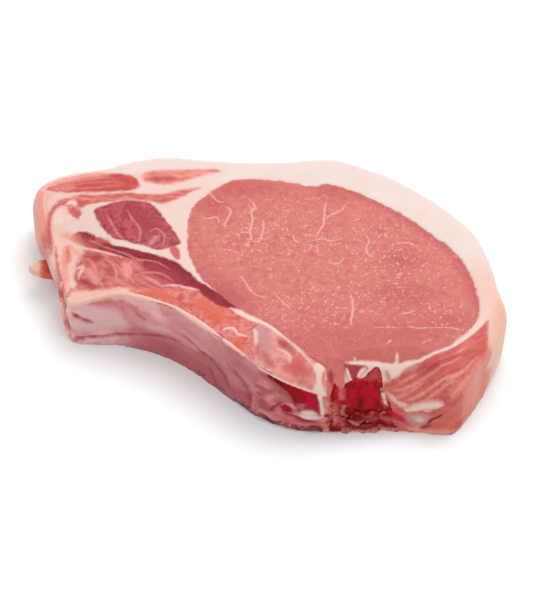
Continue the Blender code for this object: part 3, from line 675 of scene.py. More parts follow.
def ripple(points, size, seed):
    """Smooth uneven ups and downs, from -1 to 1, that are size across."""
    lattice = np.random.default_rng(seed).uniform(-1.0, 1.0, (24, 24, 24))
    at = points / size + 240.0
    cell = np.floor(at).astype(int)
    t = at - cell
    t = t * t * (3 - 2 * t)
    total = np.zeros(len(points))
    for corner in np.ndindex(2, 2, 2):
        weight = np.prod(np.where(corner, t, 1 - t), axis=1)
        total += weight * lattice[tuple(((cell + corner) % 24).T)]
    return total


def uneven(points, *waves):
    """Ripples added up, each given by its height, its size and its seed."""
    return sum(high * ripple(points, size, seed) for high, size, seed in waves)


def covered(deep):
    """How much a touch shows, 0 to 1, by how far inside it a place lies."""
    return rise(deep, -1, 1)


def spots(xy, rounds):
    """A tone that is 1 in the middle of soft oval spots and fades out round them."""
    tone = np.zeros(len(xy))
    for x, y, long, wide, turn in rounds:
        off = xy - (np.array((x, y)) + DATUM)
        c, s = math.cos(math.radians(turn)), math.sin(math.radians(turn))
        along, across = off[:, 0] * c + off[:, 1] * s, off[:, 1] * c - off[:, 0] * s
        tone = np.maximum(tone, bell(np.hypot(along / long, across / wide)))
    return tone


# ------------------------------------------------------------------- the chop's shape

EDGE = spline(CHOP, 1.2)


def edge_of_chop(xy):
    """How deep each place lies inside the chop's outline, the nearest point of the
    outline, and the outward direction there."""
    far, k, share = nearest(EDGE, xy, True)
    along = np.roll(EDGE, -1, axis=0) - EDGE
    facing = np.column_stack((along[:, 1], -along[:, 0]))
    facing /= np.linalg.norm(facing, axis=1)[:, None]
    near = EDGE[k] + along[k] * share[:, None]
    corner = facing + np.roll(facing, 1, axis=0)
    corner /= np.linalg.norm(corner, axis=1)[:, None]
    blend = (corner[k] * (1 - share[:, None])
             + np.roll(corner, -1, axis=0)[k] * share[:, None])
    blend /= np.linalg.norm(blend, axis=1)[:, None]
    inward = -np.sign(np.sum((xy - near) * facing[k], axis=1))
    return far * np.where(inward == 0, 1.0, inward), near, blend


def thickness(x, y, depth):
    """The chop's thickness at each place."""
    thick = THICK - (smooth((TAIL_X - x) / TAIL_RUN)
                     * (TAIL_DROP_BACK + (TAIL_DROP_FRONT - TAIL_DROP_BACK)
                        * smooth((TAIL_Y - y) / TAIL_SPREAD)))
    run = np.where(x < SHOULDER_X, SHOULDER_RUN_RIB, SHOULDER_RUN_CAP)
    near_backbone = (bell((x - SHOULDER_X) / run)
                     * smooth((SHOULDER_Y - y) / SHOULDER_SPREAD))
    reach = SHOULDER_DEEP + SHOULDER_DEEPER * near_backbone
    slope = np.clip(1 - np.maximum(depth, 0) / reach, 0.0, 1.0)
    return thick - SHOULDER_DROP * near_backbone * slope ** 2


def cap_side(edge):
    """1 along the fat cap, 0 along the rib and the backbone."""
    return smooth((edge[:, 1] - CAP_Y + CAP_SLANT * edge[:, 0]) / CAP_FADE)


def wall_shift(edge, level):
    """How far the wall stands out from the outline, by place and height (0 to 1)."""
    on_cap = cap_side(edge)
    on_rib = smooth((RIB_END - edge[:, 0]) / RIB_FADE) * (1 - on_cap)
    cap = CAP_BULGE - CAP_ROUND * np.abs(2 * level - 1) ** 5
    low = smooth((FOOT_TOP - level) / FOOT_RISE)
    over_rib = RIB_BULGE * bell((level - RIB_LEVEL) / RIB_SPREAD)
    under_rib = RIB_FOOT * low * bell((edge[:, 0] - RIB_FOOT_X) / RIB_FOOT_RUN)
    return (on_cap * cap + (1 - on_cap) * (FOOT_FLARE * low)
            + on_rib * (over_rib + under_rib))


class Flat:
    """The points of a flat slab, and where they lie in the chop before it is shaped."""

    def __init__(self, points):
        self.xy = points[:, :2]
        self.level = np.clip(points[:, 2] / THICK, 0.0, 1.0)
        self.place = np.column_stack((self.xy, self.level * THICK))
        self.depth, self.edge, self.facing = edge_of_chop(self.xy)

    def rounded(self, top, radius):
        """How far inwards and downwards the points near the rim move to round it."""
        below = (1 - self.level) * top
        share = np.clip((self.depth - below) / radius, -1.0, 1.0)
        angle = math.pi / 4 * (1 + share)
        near = (self.depth < radius) & (below < radius)
        inward = np.where(near, radius * (1 - np.cos(angle)) - np.maximum(self.depth, 0), 0)
        down = np.where(near, radius * (1 - np.sin(angle)) - below, 0)
        return inward, down

    def shaped(self, radius, lift, push=0.0):
        """The points in the chop's shape: with the upper rim rounded, the upper face
        lifted and the walls pushed outwards."""
        felt = smooth(1 - np.maximum(self.depth, 0) / WALL_REACH)
        top = thickness(self.xy[:, 0], self.xy[:, 1], self.depth)
        inward, down = self.rounded(top, np.maximum(radius, 0.01))
        out = wall_shift(self.edge, self.level) * felt + push - inward
        z = self.level * (top + lift) - down
        return np.column_stack((self.xy + self.facing * out[:, None], z))


# ------------------------------------------------------------------------ mesh helpers

def drawn(outline, low, high):
    """A flat outline filled and extruded from low to high, as a bmesh."""
    bm = bmesh.new()
    face = bm.faces.new([bm.verts.new((x * MM, y * MM, low * MM)) for x, y in outline])
    risen = bmesh.ops.extrude_face_region(bm, geom=[face])["geom"]
    bmesh.ops.translate(bm, verts=[g for g in risen if isinstance(g, bmesh.types.BMVert)],
                        vec=(0, 0, (high - low) * MM))
    bmesh.ops.recalc_face_normals(bm, faces=bm.faces)
    return bm


def placed(name, bm):
    """A bmesh made an object."""
    mesh = bpy.data.meshes.new(name)
    bm.to_mesh(mesh)
    bm.free()
    piece = bpy.data.objects.new(name, mesh)
    bpy.context.scene.collection.objects.link(piece)
    return piece


def worked_in(piece, kind, **settings):
    """Adds a modifier and works its result into the mesh."""
    step = piece.modifiers.new(kind.lower(), kind)
    for key, value in settings.items():
        setattr(step, key, value)
    bpy.context.view_layer.update()
    mesh = bpy.data.meshes.new_from_object(
        piece.evaluated_get(bpy.context.evaluated_depsgraph_get()))
    piece.modifiers.clear()
    old, piece.data = piece.data, mesh
    mesh.name = piece.name
    bpy.data.meshes.remove(old)


def cut(piece, cutter, operation):
    """Works a Boolean into the piece's mesh, and removes the cutter."""
    worked_in(piece, "BOOLEAN", operation=operation, solver="EXACT", object=cutter)
    bpy.data.objects.remove(cutter)


def slab(name, outline, fineness, squeeze=1.0, in_chop=True):
    """A flat slab with even faces, cut to the chop's outline. Squeeze makes its walls'
    faces that much taller than they are wide."""
    piece = placed(name, drawn(outline, 0.0, THICK))
    if in_chop:
        cut(piece, placed("chop_outline", drawn(EDGE, -1.0, THICK + 1.0)), "INTERSECT")
    points = points_of(piece)
    points[:, 2] *= squeeze
    move(piece, points)
    worked_in(piece, "REMESH", mode="VOXEL", voxel_size=fineness * MM)
    points = points_of(piece)
    points[:, 2] /= squeeze
    move(piece, points)
    return piece


def points_of(piece):
    """The mesh's points in millimetres."""
    flat = np.empty(len(piece.data.vertices) * 3)
    piece.data.vertices.foreach_get("co", flat)
    return flat.reshape(-1, 3) / MM


def move(piece, points):
    """Puts the mesh's points where they are given, in millimetres."""
    piece.data.vertices.foreach_set("co", (points * MM).ravel())
    piece.data.update()


def mark(piece, **values):
    """Keeps numbers at the mesh's points, for its material."""
    for name, numbers in values.items():
        attribute = piece.data.attributes.new(name, "FLOAT", "POINT")
        attribute.data.foreach_set("value", np.asarray(numbers, np.float32))


def refine(piece, wanted):
    """Splits in four the faces whose centres are wanted."""
    bm = bmesh.new()
    bm.from_mesh(piece.data)
    centres = np.array([face.calc_center_median() for face in bm.faces]) / MM
    chosen = wanted(centres)
    edges = {e for face, take in zip(bm.faces, chosen) if take for e in face.edges}
    bmesh.ops.subdivide_edges(bm, edges=list(edges), cuts=1, use_grid_fill=True)
    bm.to_mesh(piece.data)
    bm.free()


def eased(piece, times):
    """Smooths the mesh."""
    bm = bmesh.new()
    bm.from_mesh(piece.data)
    for _ in range(times):
        bmesh.ops.smooth_vert(bm, verts=bm.verts, factor=0.5, use_axis_x=True,
                              use_axis_y=True, use_axis_z=True)
    bm.to_mesh(piece.data)
    bm.free()


def finished(piece, material, slot, *nodes):
    """Shades a piece, dresses it and lets it ride on the chop, in place of its nodes."""
    piece.data.shade_smooth()
    piece.data.materials.clear()
    piece.data.materials.append(material)
    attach(piece, BODY)
    if nodes:
        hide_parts(*nodes)


# ---------------------------------------------------------------------------- materials

class Paint:
    """One material's nodes, added a step at a time. Its patterns are in millimetres."""

    def __init__(self, name):
        self.material = bpy.data.materials.new(name)
        self.material.use_nodes = True
        self.tree = self.material.node_tree
        self.shader = self.tree.nodes["Principled BSDF"]
        self.place = self.add("ShaderNodeTexCoord").outputs["Object"]

    def add(self, kind, inputs=(), **settings):
        """One node, with its settings, and its inputs set or linked."""
        node = self.tree.nodes.new(kind)
        for key, value in settings.items():
            setattr(node, key, value)
        for key, value in dict(inputs).items():
            self.feed(node.inputs[key], value)
        return node

    def feed(self, socket, value):
        """Sets a socket, or links another to it."""
        if isinstance(value, bpy.types.NodeSocket):
            self.tree.links.new(value, socket)
        elif socket.type == "RGBA":
            socket.default_value = (*tuple(value)[:3], 1.0)
        else:
            socket.default_value = value

    def mark(self, name):
        """The numbers kept at the mesh's points."""
        return self.add("ShaderNodeAttribute", attribute_name=name).outputs["Fac"]

    def maths(self, operation, a, b):
        """A sum, product or the like of two numbers."""
        return self.add("ShaderNodeMath", {0: a, 1: b}, operation=operation).outputs[0]

    def stretched(self, size, long=1.0, turn=0.0, tall=1.0):
        """The place, counted in patches of a size that may be longer one way."""
        return self.add("ShaderNodeMapping", {
            "Vector": self.place, "Rotation": (0.0, 0.0, math.radians(turn)),
            "Scale": (size * long * MM, size * MM, size * tall * MM)},
            vector_type="TEXTURE").outputs[0]

    def noise(self, size, detail=2.0, rough=0.5, distort=0.0, **stretch):
        """Uneven patches of a size, 0 to 1."""
        return self.add("ShaderNodeTexNoise", {
            "Vector": self.stretched(size, **stretch), "Scale": 1.0, "Detail": detail,
            "Roughness": rough, "Distortion": distort}).outputs["Fac"]

    def net(self, size, wobble, **stretch):
        """The distance to the edges of uneven cells of a size, whose lines wobble."""
        place = self.stretched(size, **stretch)
        drift = self.add("ShaderNodeTexNoise", {
            "Vector": place, "Scale": 1.6, "Detail": 1.0}).outputs["Color"]
        shift = self.add("ShaderNodeVectorMath", {0: drift, 1: (0.5, 0.5, 0.5)},
                         operation="SUBTRACT").outputs[0]
        shift = self.add("ShaderNodeVectorMath", {0: shift, "Scale": wobble},
                         operation="SCALE").outputs[0]
        place = self.add("ShaderNodeVectorMath", {0: place, 1: shift},
                         operation="ADD").outputs[0]
        return self.add("ShaderNodeTexVoronoi", {
            "Vector": place, "Scale": 1.0, "Randomness": 1.0},
            feature="DISTANCE_TO_EDGE").outputs["Distance"]

    def ramp(self, value, low, high, to_low=0.0, to_high=1.0):
        """An S curve between two values, held beyond them."""
        return self.add("ShaderNodeMapRange", {
            "Value": value, "From Min": low, "From Max": high, "To Min": to_low,
            "To Max": to_high}, interpolation_type="SMOOTHSTEP").outputs["Result"]

    def mix(self, share, under, over):
        """One colour laid over another."""
        return self.add("ShaderNodeMix", {0: share, 6: under, 7: over},
                        data_type="RGBA").outputs[2]

    def region(self, name, soft, wobble=0.6, size=1.6):
        """1 inside a marked outline and 0 outside it, with a slightly ragged edge."""
        ragged = self.maths("MULTIPLY", self.maths("SUBTRACT", self.noise(size), 0.5),
                            2 * wobble)
        return self.ramp(self.maths("ADD", self.mark(name), ragged), -soft, soft)

    def bumped(self, height, deep, strength):
        """Fine relief, so many millimetres deep."""
        normal = self.add("ShaderNodeBump", {
            "Height": height, "Distance": deep * MM, "Strength": strength}).outputs[0]
        self.feed(self.shader.inputs["Normal"], normal)

    def done(self, colour_now, **levels):
        """Feeds the colour and sets the shader's even levels."""
        self.feed(self.shader.inputs["Base Color"], colour_now)
        for key, value in levels.items():
            self.feed(self.shader.inputs[key.replace("_", " ")], value)
        return self.material


SOFT_FLESH = {"Subsurface_Weight": 0.3, "Subsurface_Radius": (1.0, 0.45, 0.35),
              "Subsurface_Scale": 0.0012}
BLOODY = {"Subsurface_Weight": 0.08, "Subsurface_Radius": (1.0, 0.2, 0.15),
          "Subsurface_Scale": 0.001}


def touched(p, now, shades, tables, wobble=0.7, size=1.2):
    """Lays every colour's touches over what is there, with ragged edges."""
    ragged = p.maths("MULTIPLY", p.maths("SUBTRACT", p.noise(size, 3.0), 0.5), 2 * wobble)
    for name in TOUCH_ORDER:
        if any(name in table for table in tables):
            share = p.ramp(p.maths("ADD", p.mark(name), ragged), -1.0, 1.0)
            now = p.mix(share, now, getattr(shades, name))
    return now


def flesh_material(shades):
    """Fat, with each muscle, its grain and its marbling laid over it."""
    p = Paint("flesh")
    blotch = p.noise(9.0, 3.0)
    fat = p.mix(p.ramp(blotch, 0.4, 0.75, 0.0, 0.4), shades.fat, shades.seam_fat)
    fat = p.mix(p.mark("seam_tone"), fat, shades.seam_fat)
    now = p.mix(p.mark("tail_tone"), fat, shades.tail_fat)

    def lay(now, name, light, deep, grain, high=0.65, **edge):
        toned = p.mix(p.ramp(grain, 0.35, high), deep, light)
        return p.mix(p.region(name, **edge), now, toned)

    fibre = p.noise(1.6, 4.0, rough=0.6, long=3.0, turn=-4.0)
    lumps = p.noise(2.6, 4.0, rough=0.6, distort=0.8)
    streaks = p.noise(1.3, 3.0, long=5.0, turn=30.0)
    strands = p.noise(1.5, 4.0, rough=0.6, long=4.0, turn=-38.0)
    now = lay(now, "flank", shades.flank_light, shades.flank_lean, fibre, soft=1.1)
    now = lay(now, "belly", shades.belly_light, shades.belly_lean, fibre, soft=0.9,
              wobble=1.0, size=2.6)
    now = lay(now, "skin", shades.blush, shades.skin_lean, fibre, high=0.8, soft=0.8,
              wobble=0.9, size=3.2)
    now = lay(now, "rib_side", shades.rim_light, shades.rim_lean, lumps, soft=0.8,
              wobble=1.6, size=2.4)
    now = lay(now, "between_ribs", shades.rib_light, shades.rib_lean, strands, soft=0.8,
              wobble=1.2, size=3.0)
    now = lay(now, "back", shades.back_light, shades.back_lean, streaks, soft=0.6)
    now = lay(now, "strip", shades.strip_light, shades.strip_lean, strands, soft=0.6,
              wobble=0.9, size=2.6)
    now = lay(now, "oval", shades.dark_light, shades.dark_lean, lumps, soft=0.6,
              wobble=0.9, size=2.8)
    # the eye muscle: grain of cut fibre bundles, tones, flecks and veins of fat
    grain = p.noise(0.8, 3.0, rough=0.65)
    mottle = p.noise(2.6, 3.0, rough=0.6)
    eye = p.mix(p.ramp(grain, 0.32, 0.66), shades.lean, shades.lean_light)
    eye = p.mix(p.ramp(mottle, 0.42, 0.7, 0.0, 0.6), eye, shades.lean_deep)
    eye = p.mix(p.ramp(blotch, 0.4, 0.7, 0.0, 0.35), eye, shades.lean_light)
    deep = p.maths("MAXIMUM", p.mark("deep_tone"), p.mark("rim_tone"))
    eye = p.mix(p.maths("MULTIPLY", deep, 0.75), eye, shades.lean_deep)
    lines = 0.0
    for size, thin, turn in ((2.6, 0.07, 80.0), (3.8, 0.05, 55.0)):
        net = p.net(size, wobble=0.9, long=1.5, turn=turn)
        broken = p.ramp(p.noise(1.5 * size / 2.6, 2.0), 0.54, 0.64)
        lines = p.maths("MAXIMUM", lines,
                        p.maths("MULTIPLY", p.ramp(net, thin, thin * 0.3), broken))
    flecks = p.ramp(p.noise(0.9, 2.0, long=1.8, turn=75.0), 0.64, 0.76)
    across = p.ramp(p.noise(1.1, 2.0, long=2.4, turn=10.0), 0.64, 0.74)
    flecks = p.maths("MAXIMUM", flecks, across)
    marbling = p.maths("MULTIPLY", p.maths("MAXIMUM", lines, flecks), p.mark("marbled"))
    eye = p.mix(p.maths("MULTIPLY", marbling, 0.75), eye, shades.vein)
    ragged_vein = p.region("veins", soft=0.3, wobble=0.45, size=0.6)
    eye = p.mix(p.maths("MULTIPLY", ragged_vein, 0.72), eye, shades.vein)
    now = p.mix(p.region("eye", soft=0.5, wobble=0.9, size=2.2), now, eye)
    now = touched(p, now, shades, (FACE_TOUCHES, WALL_TOUCHES))
    height = p.maths("ADD", p.maths("MULTIPLY", grain, 0.5), mottle)
    p.bumped(height, 0.45, 0.4)
    return p.done(now, Roughness=0.44, Specular_IOR_Level=0.2, **SOFT_FLESH)


def membrane_material(shades):
    """Moist, half-clear membrane over bone, mauve and pink, pale along its upper lip."""
    p = Paint("membrane")
    cloud = p.noise(7.0, 4.0, long=2.0, turn=-40.0)
    now = p.mix(p.ramp(cloud, 0.35, 0.62), shades.membrane_deep, shades.membrane)
    now = p.mix(p.maths("MULTIPLY", p.mark("low_tone"), 0.85), now, shades.membrane_low)
    streak = p.ramp(p.noise(1.8, 4.0, long=5.0, turn=-48.0, tall=2.4), 0.5, 0.7)
    now = p.mix(p.maths("MULTIPLY", streak, 0.25), now, shades.membrane_low)
    now = touched(p, now, shades, (MEMBRANE_TOUCHES,), wobble=0.9, size=2.4)
    now = p.mix(p.region("lip", soft=0.5, wobble=0.7), now, shades.peach)
    p.bumped(p.noise(2.0, 3.0, long=3.0, turn=-45.0), 0.8, 0.4)
    return p.done(now, Roughness=0.36, Specular_IOR_Level=0.25, **SOFT_FLESH)


def bone_material(shades):
    """Cut bone and gristle by the backbone, with the bloody canal."""
    p = Paint("rib_head")
    cloud = p.noise(3.0, 4.0, rough=0.6)
    now = p.mix(p.ramp(cloud, 0.38, 0.62), shades.bone_deep, shades.bone)
    skin = p.mix(p.ramp(p.noise(4.0, 4.0, long=2.0, turn=-40.0), 0.35, 0.62),
                 shades.membrane_low, shades.membrane_deep)
    now = p.mix(p.maths("MULTIPLY", p.mark("wall_tone"), 0.85), now, skin)
    inner = p.mix(p.ramp(p.noise(1.4, 4.0), 0.4, 0.62), shades.blood, shades.marrow)
    inner = p.mix(p.maths("MULTIPLY", p.mark("canal_floor"), 0.8), inner, shades.dark)
    now = p.mix(p.region("canal", soft=0.4, wobble=0.4, size=1.0), now, inner)
    now = touched(p, now, shades, (BONE_FACE_TOUCHES, BONE_WALL_TOUCHES), wobble=0.6)
    p.bumped(p.noise(0.9, 3.0), 0.5, 0.4)
    return p.done(now, Roughness=0.38, Specular_IOR_Level=0.1, **BLOODY)


def marrow_material(shades):
    """Sawn red marrow, wet and crumbly."""
    p = Paint("marrow")
    crumb = p.noise(2.0, 4.0, rough=0.6)
    cloud = p.noise(3.2, 3.0, long=1.8, turn=80.0)
    now = p.mix(p.ramp(cloud, 0.42, 0.58), shades.crimson, shades.marrow)
    now = p.mix(p.ramp(cloud, 0.42, 0.3, 0.0, 0.8), now, shades.blood)
    now = p.mix(p.ramp(crumb, 0.62, 0.75, 0.0, 0.7), now, shades.marrow_light)
    torn = p.mix(p.ramp(crumb, 0.36, 0.56), shades.blood, shades.crimson)
    torn = p.mix(p.ramp(crumb, 0.6, 0.7, 0.0, 0.7), torn, shades.marrow_light)
    now = p.mix(p.mark("torn"), now, torn)
    now = touched(p, now, shades, (MARROW_FACE_TOUCHES, MARROW_WALL_TOUCHES), wobble=1.2)
    p.bumped(crumb, 0.6, 0.5)
    return p.done(now, Roughness=0.38, Specular_IOR_Level=0.1, **BLOODY)


def tag_material(shades):
    """A scrap of fat with a red root."""
    p = Paint("flank_tag")
    now = p.mix(p.region("root", soft=1.4, wobble=0.8), shades.tag_fat, shades.tag_root)
    p.bumped(p.noise(0.8, 2.0), 0.3, 0.4)
    return p.done(now, Roughness=0.42, **SOFT_FLESH)


def shred_material(name, low, middle, high):
    """Torn wet membrane and crumbs, in three colours laid by a tone kept at the mesh's points and
    by fine noise. Where that tone follows height, on the foot's shred, the lowest colour is
    painted shade low down and in the hollows, and the highest a painted highlight on the crests;
    on the crumbs the highest is a painted highlight laid by noise.
    """
    p = Paint(name)
    uneven = p.maths("ADD", p.mark("crest"), p.maths("MULTIPLY", p.noise(1.4, 3.0), 2.0))
    now = p.mix(p.ramp(uneven, 0.4, 1.1), low, middle)
    now = p.mix(p.ramp(uneven, 1.1, 1.8), now, high)
    p.bumped(p.noise(0.8, 2.0), 0.3, 0.4)
    return p.done(now, Roughness=0.34, Specular_IOR_Level=0.35, **SOFT_FLESH)


def floor_material(shades):
    """A smooth pale floor."""
    p = Paint("pale_floor")
    faint = p.ramp(p.noise(400.0, 1.0), 0.3, 0.7)
    now = p.mix(p.maths("MULTIPLY", faint, 0.02), shades.floor, (0.9, 0.9, 0.9))
    return p.done(now, Roughness=0.9, Specular_IOR_Level=0.1)


# ------------------------------------------------------------------------------- pieces

def bone_depth(xy):
    """How deep each place lies inside the outlines of the bones by the backbone."""
    return np.maximum(depth_in(spline(RIB_HEAD, 1.0), xy),
                      depth_in(spline(CHINE, 1.0), xy))


def veins_at(xy):
    """How deep each place lies inside the veins of fat."""
    return np.max([depth_in_band(path, wide, xy) for path, wide in VEINS], axis=0)


def both_touches(flat, points, face, wall):
    """The touches of the cut faces, and on the sawn wall those of the wall."""
    below = (1 - flat.level) * THICK
    sawn = (flat.depth < ON_WALL) & (below > flat.depth + 0.2)
    sawn &= flat.facing[:, 1] < -0.6
    sawn &= flat.edge[:, 0] > SAWN_FROM
    wander = (2.2 * ripple(flat.place, 5.0, 61) * smooth(below / 4)
              * smooth(1 - flat.depth))
    along = np.column_stack((-flat.facing[:, 1], flat.facing[:, 0]))
    both = touches(face, flat.xy + along * wander[:, None])
    both = {name: np.where(sawn, -3.0, deep) for name, deep in both.items()}
    for name, deep in touches(wall, points[:, [0, 2]], datum=WALL_DATUM).items():
        both[name] = np.where(sawn, deep, both.get(name, -3.0))
    return both


def fading(depth):
    """How far the upper face of a piece that is set into the flesh dips at its border,
    so that it meets the flesh without a step."""
    return -BORDER_DIP * (1 - smooth(depth / BORDER_RUN))


def fine_flesh(flesh):
    """Splits the faces of the flesh where its shape and its colours are finest: in its
    upper part, on the wall by the backbone, and on the upper face along fine lines."""
    refine(flesh, lambda c: c[:, 2] > FINE_ABOVE)
    low, high = np.transpose(FINE_WALL)
    refine(flesh, lambda c: np.all((c > low) & (c < high), axis=1))

    def fine_lines(c):
        thin = {"pale": [t for t in FACE_TOUCHES["pale"] if t[2] < 0.5]}
        pale = touches(thin, c[:, :2])["pale"]
        return (c[:, 2] > THICK - 0.1) & ((veins_at(c[:, :2]) > -0.6) | (pale > -1.5))

    refine(flesh, fine_lines)


def flesh_lift(flat, depths, seam):
    """How far each muscle stands out of the upper face, and how uneven it is."""
    lift = np.zeros(len(flat.xy))
    for name, proud in PROUD.items():
        lift = np.maximum(lift, proud * smooth(depths[name] / 5))
    lift = lift * smooth(flat.depth / 7)
    lift -= seam * bell(depths["eye"] / 0.6)
    lift += uneven(flat.place, (0.12, 11.0, 1), (0.05, 3.0, 2))
    rough = smooth(np.maximum(depths["between_ribs"], depths["rib_side"]) / 2)
    return lift + rough * uneven(flat.place, (0.45, 4.5, 3), (0.25, 2.2, 4))


def flesh_push(flat, sunk, shell):
    """How far the walls of the flesh stand back, under the membrane, behind the bones
    and in the hollow of the tail end, and how uneven they are."""
    x, y = flat.edge.T
    under_membrane = rise(y, -5, -8) * rise(x, 2, -2) * rise(x, -67, -65)
    outer = flat.depth < 0.3
    push = (-0.6 * outer * shell * under_membrane
            - sunk * np.maximum(CANAL_DEEP + BED_BACK - flat.depth, 0))
    hollow = (rise(x, -64, -67) * rise(y, 26, 18) * rise(y, -12, -4)
              * rise(flat.level, 0.8, 0.4))
    push -= hollow * np.clip(1.8 - 0.5 * flat.depth, 0, 1.8)
    return push + 0.25 * ripple(flat.place, 8.0, 5) * smooth(1 - flat.depth / 2)


def flesh_tones(flat, depths):
    """Where the colours of the fat and of the eye muscle change softly."""
    x, y = flat.xy.T
    tail = rise(x, -56, -70) * rise(y, 46, 36)
    near_rim = (rise(flat.depth, 12, 6) * rise(x, -70, -50)
                * (1 - 0.9 * rise(y, -8, 8)))
    inner = 0.6 * rise(x, -10, -22) * rise(flat.depth, 5, 9)
    return {
        "tail_tone": np.clip(tail * (0.55 + 0.4 * ripple(flat.place, 5.0, 6)), 0, 1),
        "seam_tone": near_rim + inner,
        "rim_tone": rise(depths["eye"], 5.5, 1.0) * rise(x, 8, 28) * rise(y, -30, -15),
        "deep_tone": spots(flat.xy, DARKER),
        "marbled": spots(flat.xy, MARBLED)}


def make_flesh(sizes):
    """Muscle and fat, as one piece."""
    flesh = slab("flesh", EDGE, sizes.fineness / MM, squeeze=0.6, in_chop=False)
    fine_flesh(flesh)
    flat = Flat(points_of(flesh))
    depths = {name: depth_in(spline(points, 1.0), flat.xy)
              for name, points in MUSCLES.items()}
    sunk = rise(bone_depth(flat.xy), 1.0, 2.2)
    radius = (sizes.rib_edge + (sizes.cap_edge - sizes.rib_edge)
              * cap_side(flat.edge)) / MM
    lift = flesh_lift(flat, depths, sizes.seam / MM) - BED_DEEP * sunk
    points = flat.shaped(radius, lift, flesh_push(flat, sunk, sizes.membrane / MM))
    move(flesh, points)
    mark(flesh, **depths, **both_touches(flat, points, FACE_TOUCHES, WALL_TOUCHES),
         **flesh_tones(flat, depths), veins=veins_at(flat.xy))
    return flesh


def make_membrane(sizes):
    """The membrane that covers the rib, with its pale upper lip."""
    shell = sizes.membrane / MM
    path = spline(RIB_WALL, 1.0, closed=False)
    along = np.gradient(path, axis=0)
    along /= np.linalg.norm(along, axis=1)[:, None]
    side = np.column_stack((along[:, 1], -along[:, 0]))
    outline = np.concatenate((path + side * 2, (path - side * shell)[::-1]))
    membrane = slab("rib_membrane", outline, sizes.bone_fineness / MM, squeeze=0.6)
    flat = Flat(points_of(membrane))
    x = flat.xy[:, 0]
    outer = flat.depth < ON_WALL
    points = flat.shaped(0.6, 0.25 + 0.15 * ripple(flat.place, 5.0, 13))
    marks = touches(MEMBRANE_TOUCHES, points[:, [0, 2]], datum=WALL_DATUM)
    push = outer * uneven(flat.place, (0.35, 9.0, 11), (0.15, 3.5, 12))
    push -= outer * (0.6 * covered(marks["dark"]) + 1.2 * shell * rise(x, -3, 2))
    points[:, :2] += flat.facing * push[:, None]
    move(membrane, points)
    below = (1 - flat.level) * THICK
    wide = np.interp(x, *np.transpose(LIP)) + 0.35 * ripple(flat.place, 4.0, 14)
    mark(membrane, lip=wide - below, **marks,
         low_tone=np.maximum(rise(flat.level, 0.6, 0.2) * rise(x, -54, -36),
                             0.75 * rise(x, -34, -10)))
    return membrane


def opened_canal(opening, across):
    """How far inside the opening of the canal each place of the wall lies, how deep it is
    scooped there, and how much of the depth its slope leaves."""
    inside = depth_in(opening, across)
    lip = spline(CANAL[:5], 0.5, closed=False, datum=WALL_DATUM)
    roof = np.interp(across[:, 0], *lip.T)
    slope = np.clip(1 - (roof - across[:, 1]) / CANAL_SLOPE, 0.1, 1.0)
    return inside, CANAL_DEEP * smooth(inside / 1.5) * slope, slope


def make_rib_head(sizes):
    """The rib's head and the backbone's side, with the canal that the saw opened."""
    bone = slab("rib_head_bone", spline(RIB_HEAD, 1.0), sizes.bone_fineness / MM)
    opening = spline(CANAL, 0.8, datum=WALL_DATUM)
    low, high = opening.min(0) - 1.5, opening.max(0) + 1.5

    def round_canal(c):
        near = np.all((c[:, [0, 2]] > low) & (c[:, [0, 2]] < high + (0, 4)), axis=1)
        return near & (edge_of_chop(c[:, :2])[0] < 0.3)

    refine(bone, round_canal)
    flat = Flat(points_of(bone))
    outer = 1 - smooth(flat.depth / 0.8)
    face = touches(BONE_FACE_TOUCHES, flat.xy)
    lift = 0.15 + 0.25 * ripple(flat.place, 4.0, 23) - 0.4 * covered(face["dark"])
    lift += 0.4 * covered(face["mauve"]) + 0.25 * covered(face["pale"])
    lift = lift * smooth(flat.depth / 3) + fading(depth_in(spline(RIB_HEAD, 1.0), flat.xy))
    points = flat.shaped(0.6, lift)
    across = points[:, [0, 2]]
    inside, scoop, slope = opened_canal(opening, across)
    wall = touches(BONE_WALL_TOUCHES, across, datum=WALL_DATUM)
    push = uneven(flat.place, (0.35, 3.5, 21), (0.2, 1.8, 22))
    push += (0.7 * covered(wall["pale"]) * (1 - smooth(inside / 2))
             - 0.7 * covered(wall["dark"]))
    push = push * rise(flat.place[:, 2], THICK, THICK - 1.5) * (1 - smooth(inside))
    points[:, :2] += flat.facing * ((push - scoop) * outer)[:, None]
    move(bone, points)
    slanted = points.copy()
    slanted[:, 2] += SLANT * scoop * outer
    mark(bone, **both_touches(flat, slanted, BONE_FACE_TOUCHES, BONE_WALL_TOUCHES),
         canal=np.where(flat.depth < ON_WALL, inside, -2.0),
         canal_floor=rise(slope, 0.6, 0.3),
         wall_tone=rise(flat.level, 0.97, 0.94) * outer)
    return bone


def make_chine(sizes):
    """The sawn marrow of the backbone, rough and crumbly."""
    chine = slab("chine_marrow", spline(CHINE, 1.0), sizes.bone_fineness / MM)
    flat = Flat(points_of(chine))
    wall = flat.depth < 1
    push = wall * uneven(flat.place, (0.9, 3.0, 31), (0.5, 1.4, 32))
    lift = uneven(flat.place, (0.9, 2.8, 33), (0.4, 1.2, 34)) + 0.6
    lift += fading(depth_in(spline(CHINE, 1.0), flat.xy))
    points = flat.shaped(0.8, lift, push)
    move(chine, points)
    torn = smooth((11.5 + 2.5 * ripple(flat.place, 4.0, 35) - points[:, 2]) / 3) * wall
    mark(chine, torn=torn,
         **both_touches(flat, points, MARROW_FACE_TOUCHES, MARROW_WALL_TOUCHES))
    return chine


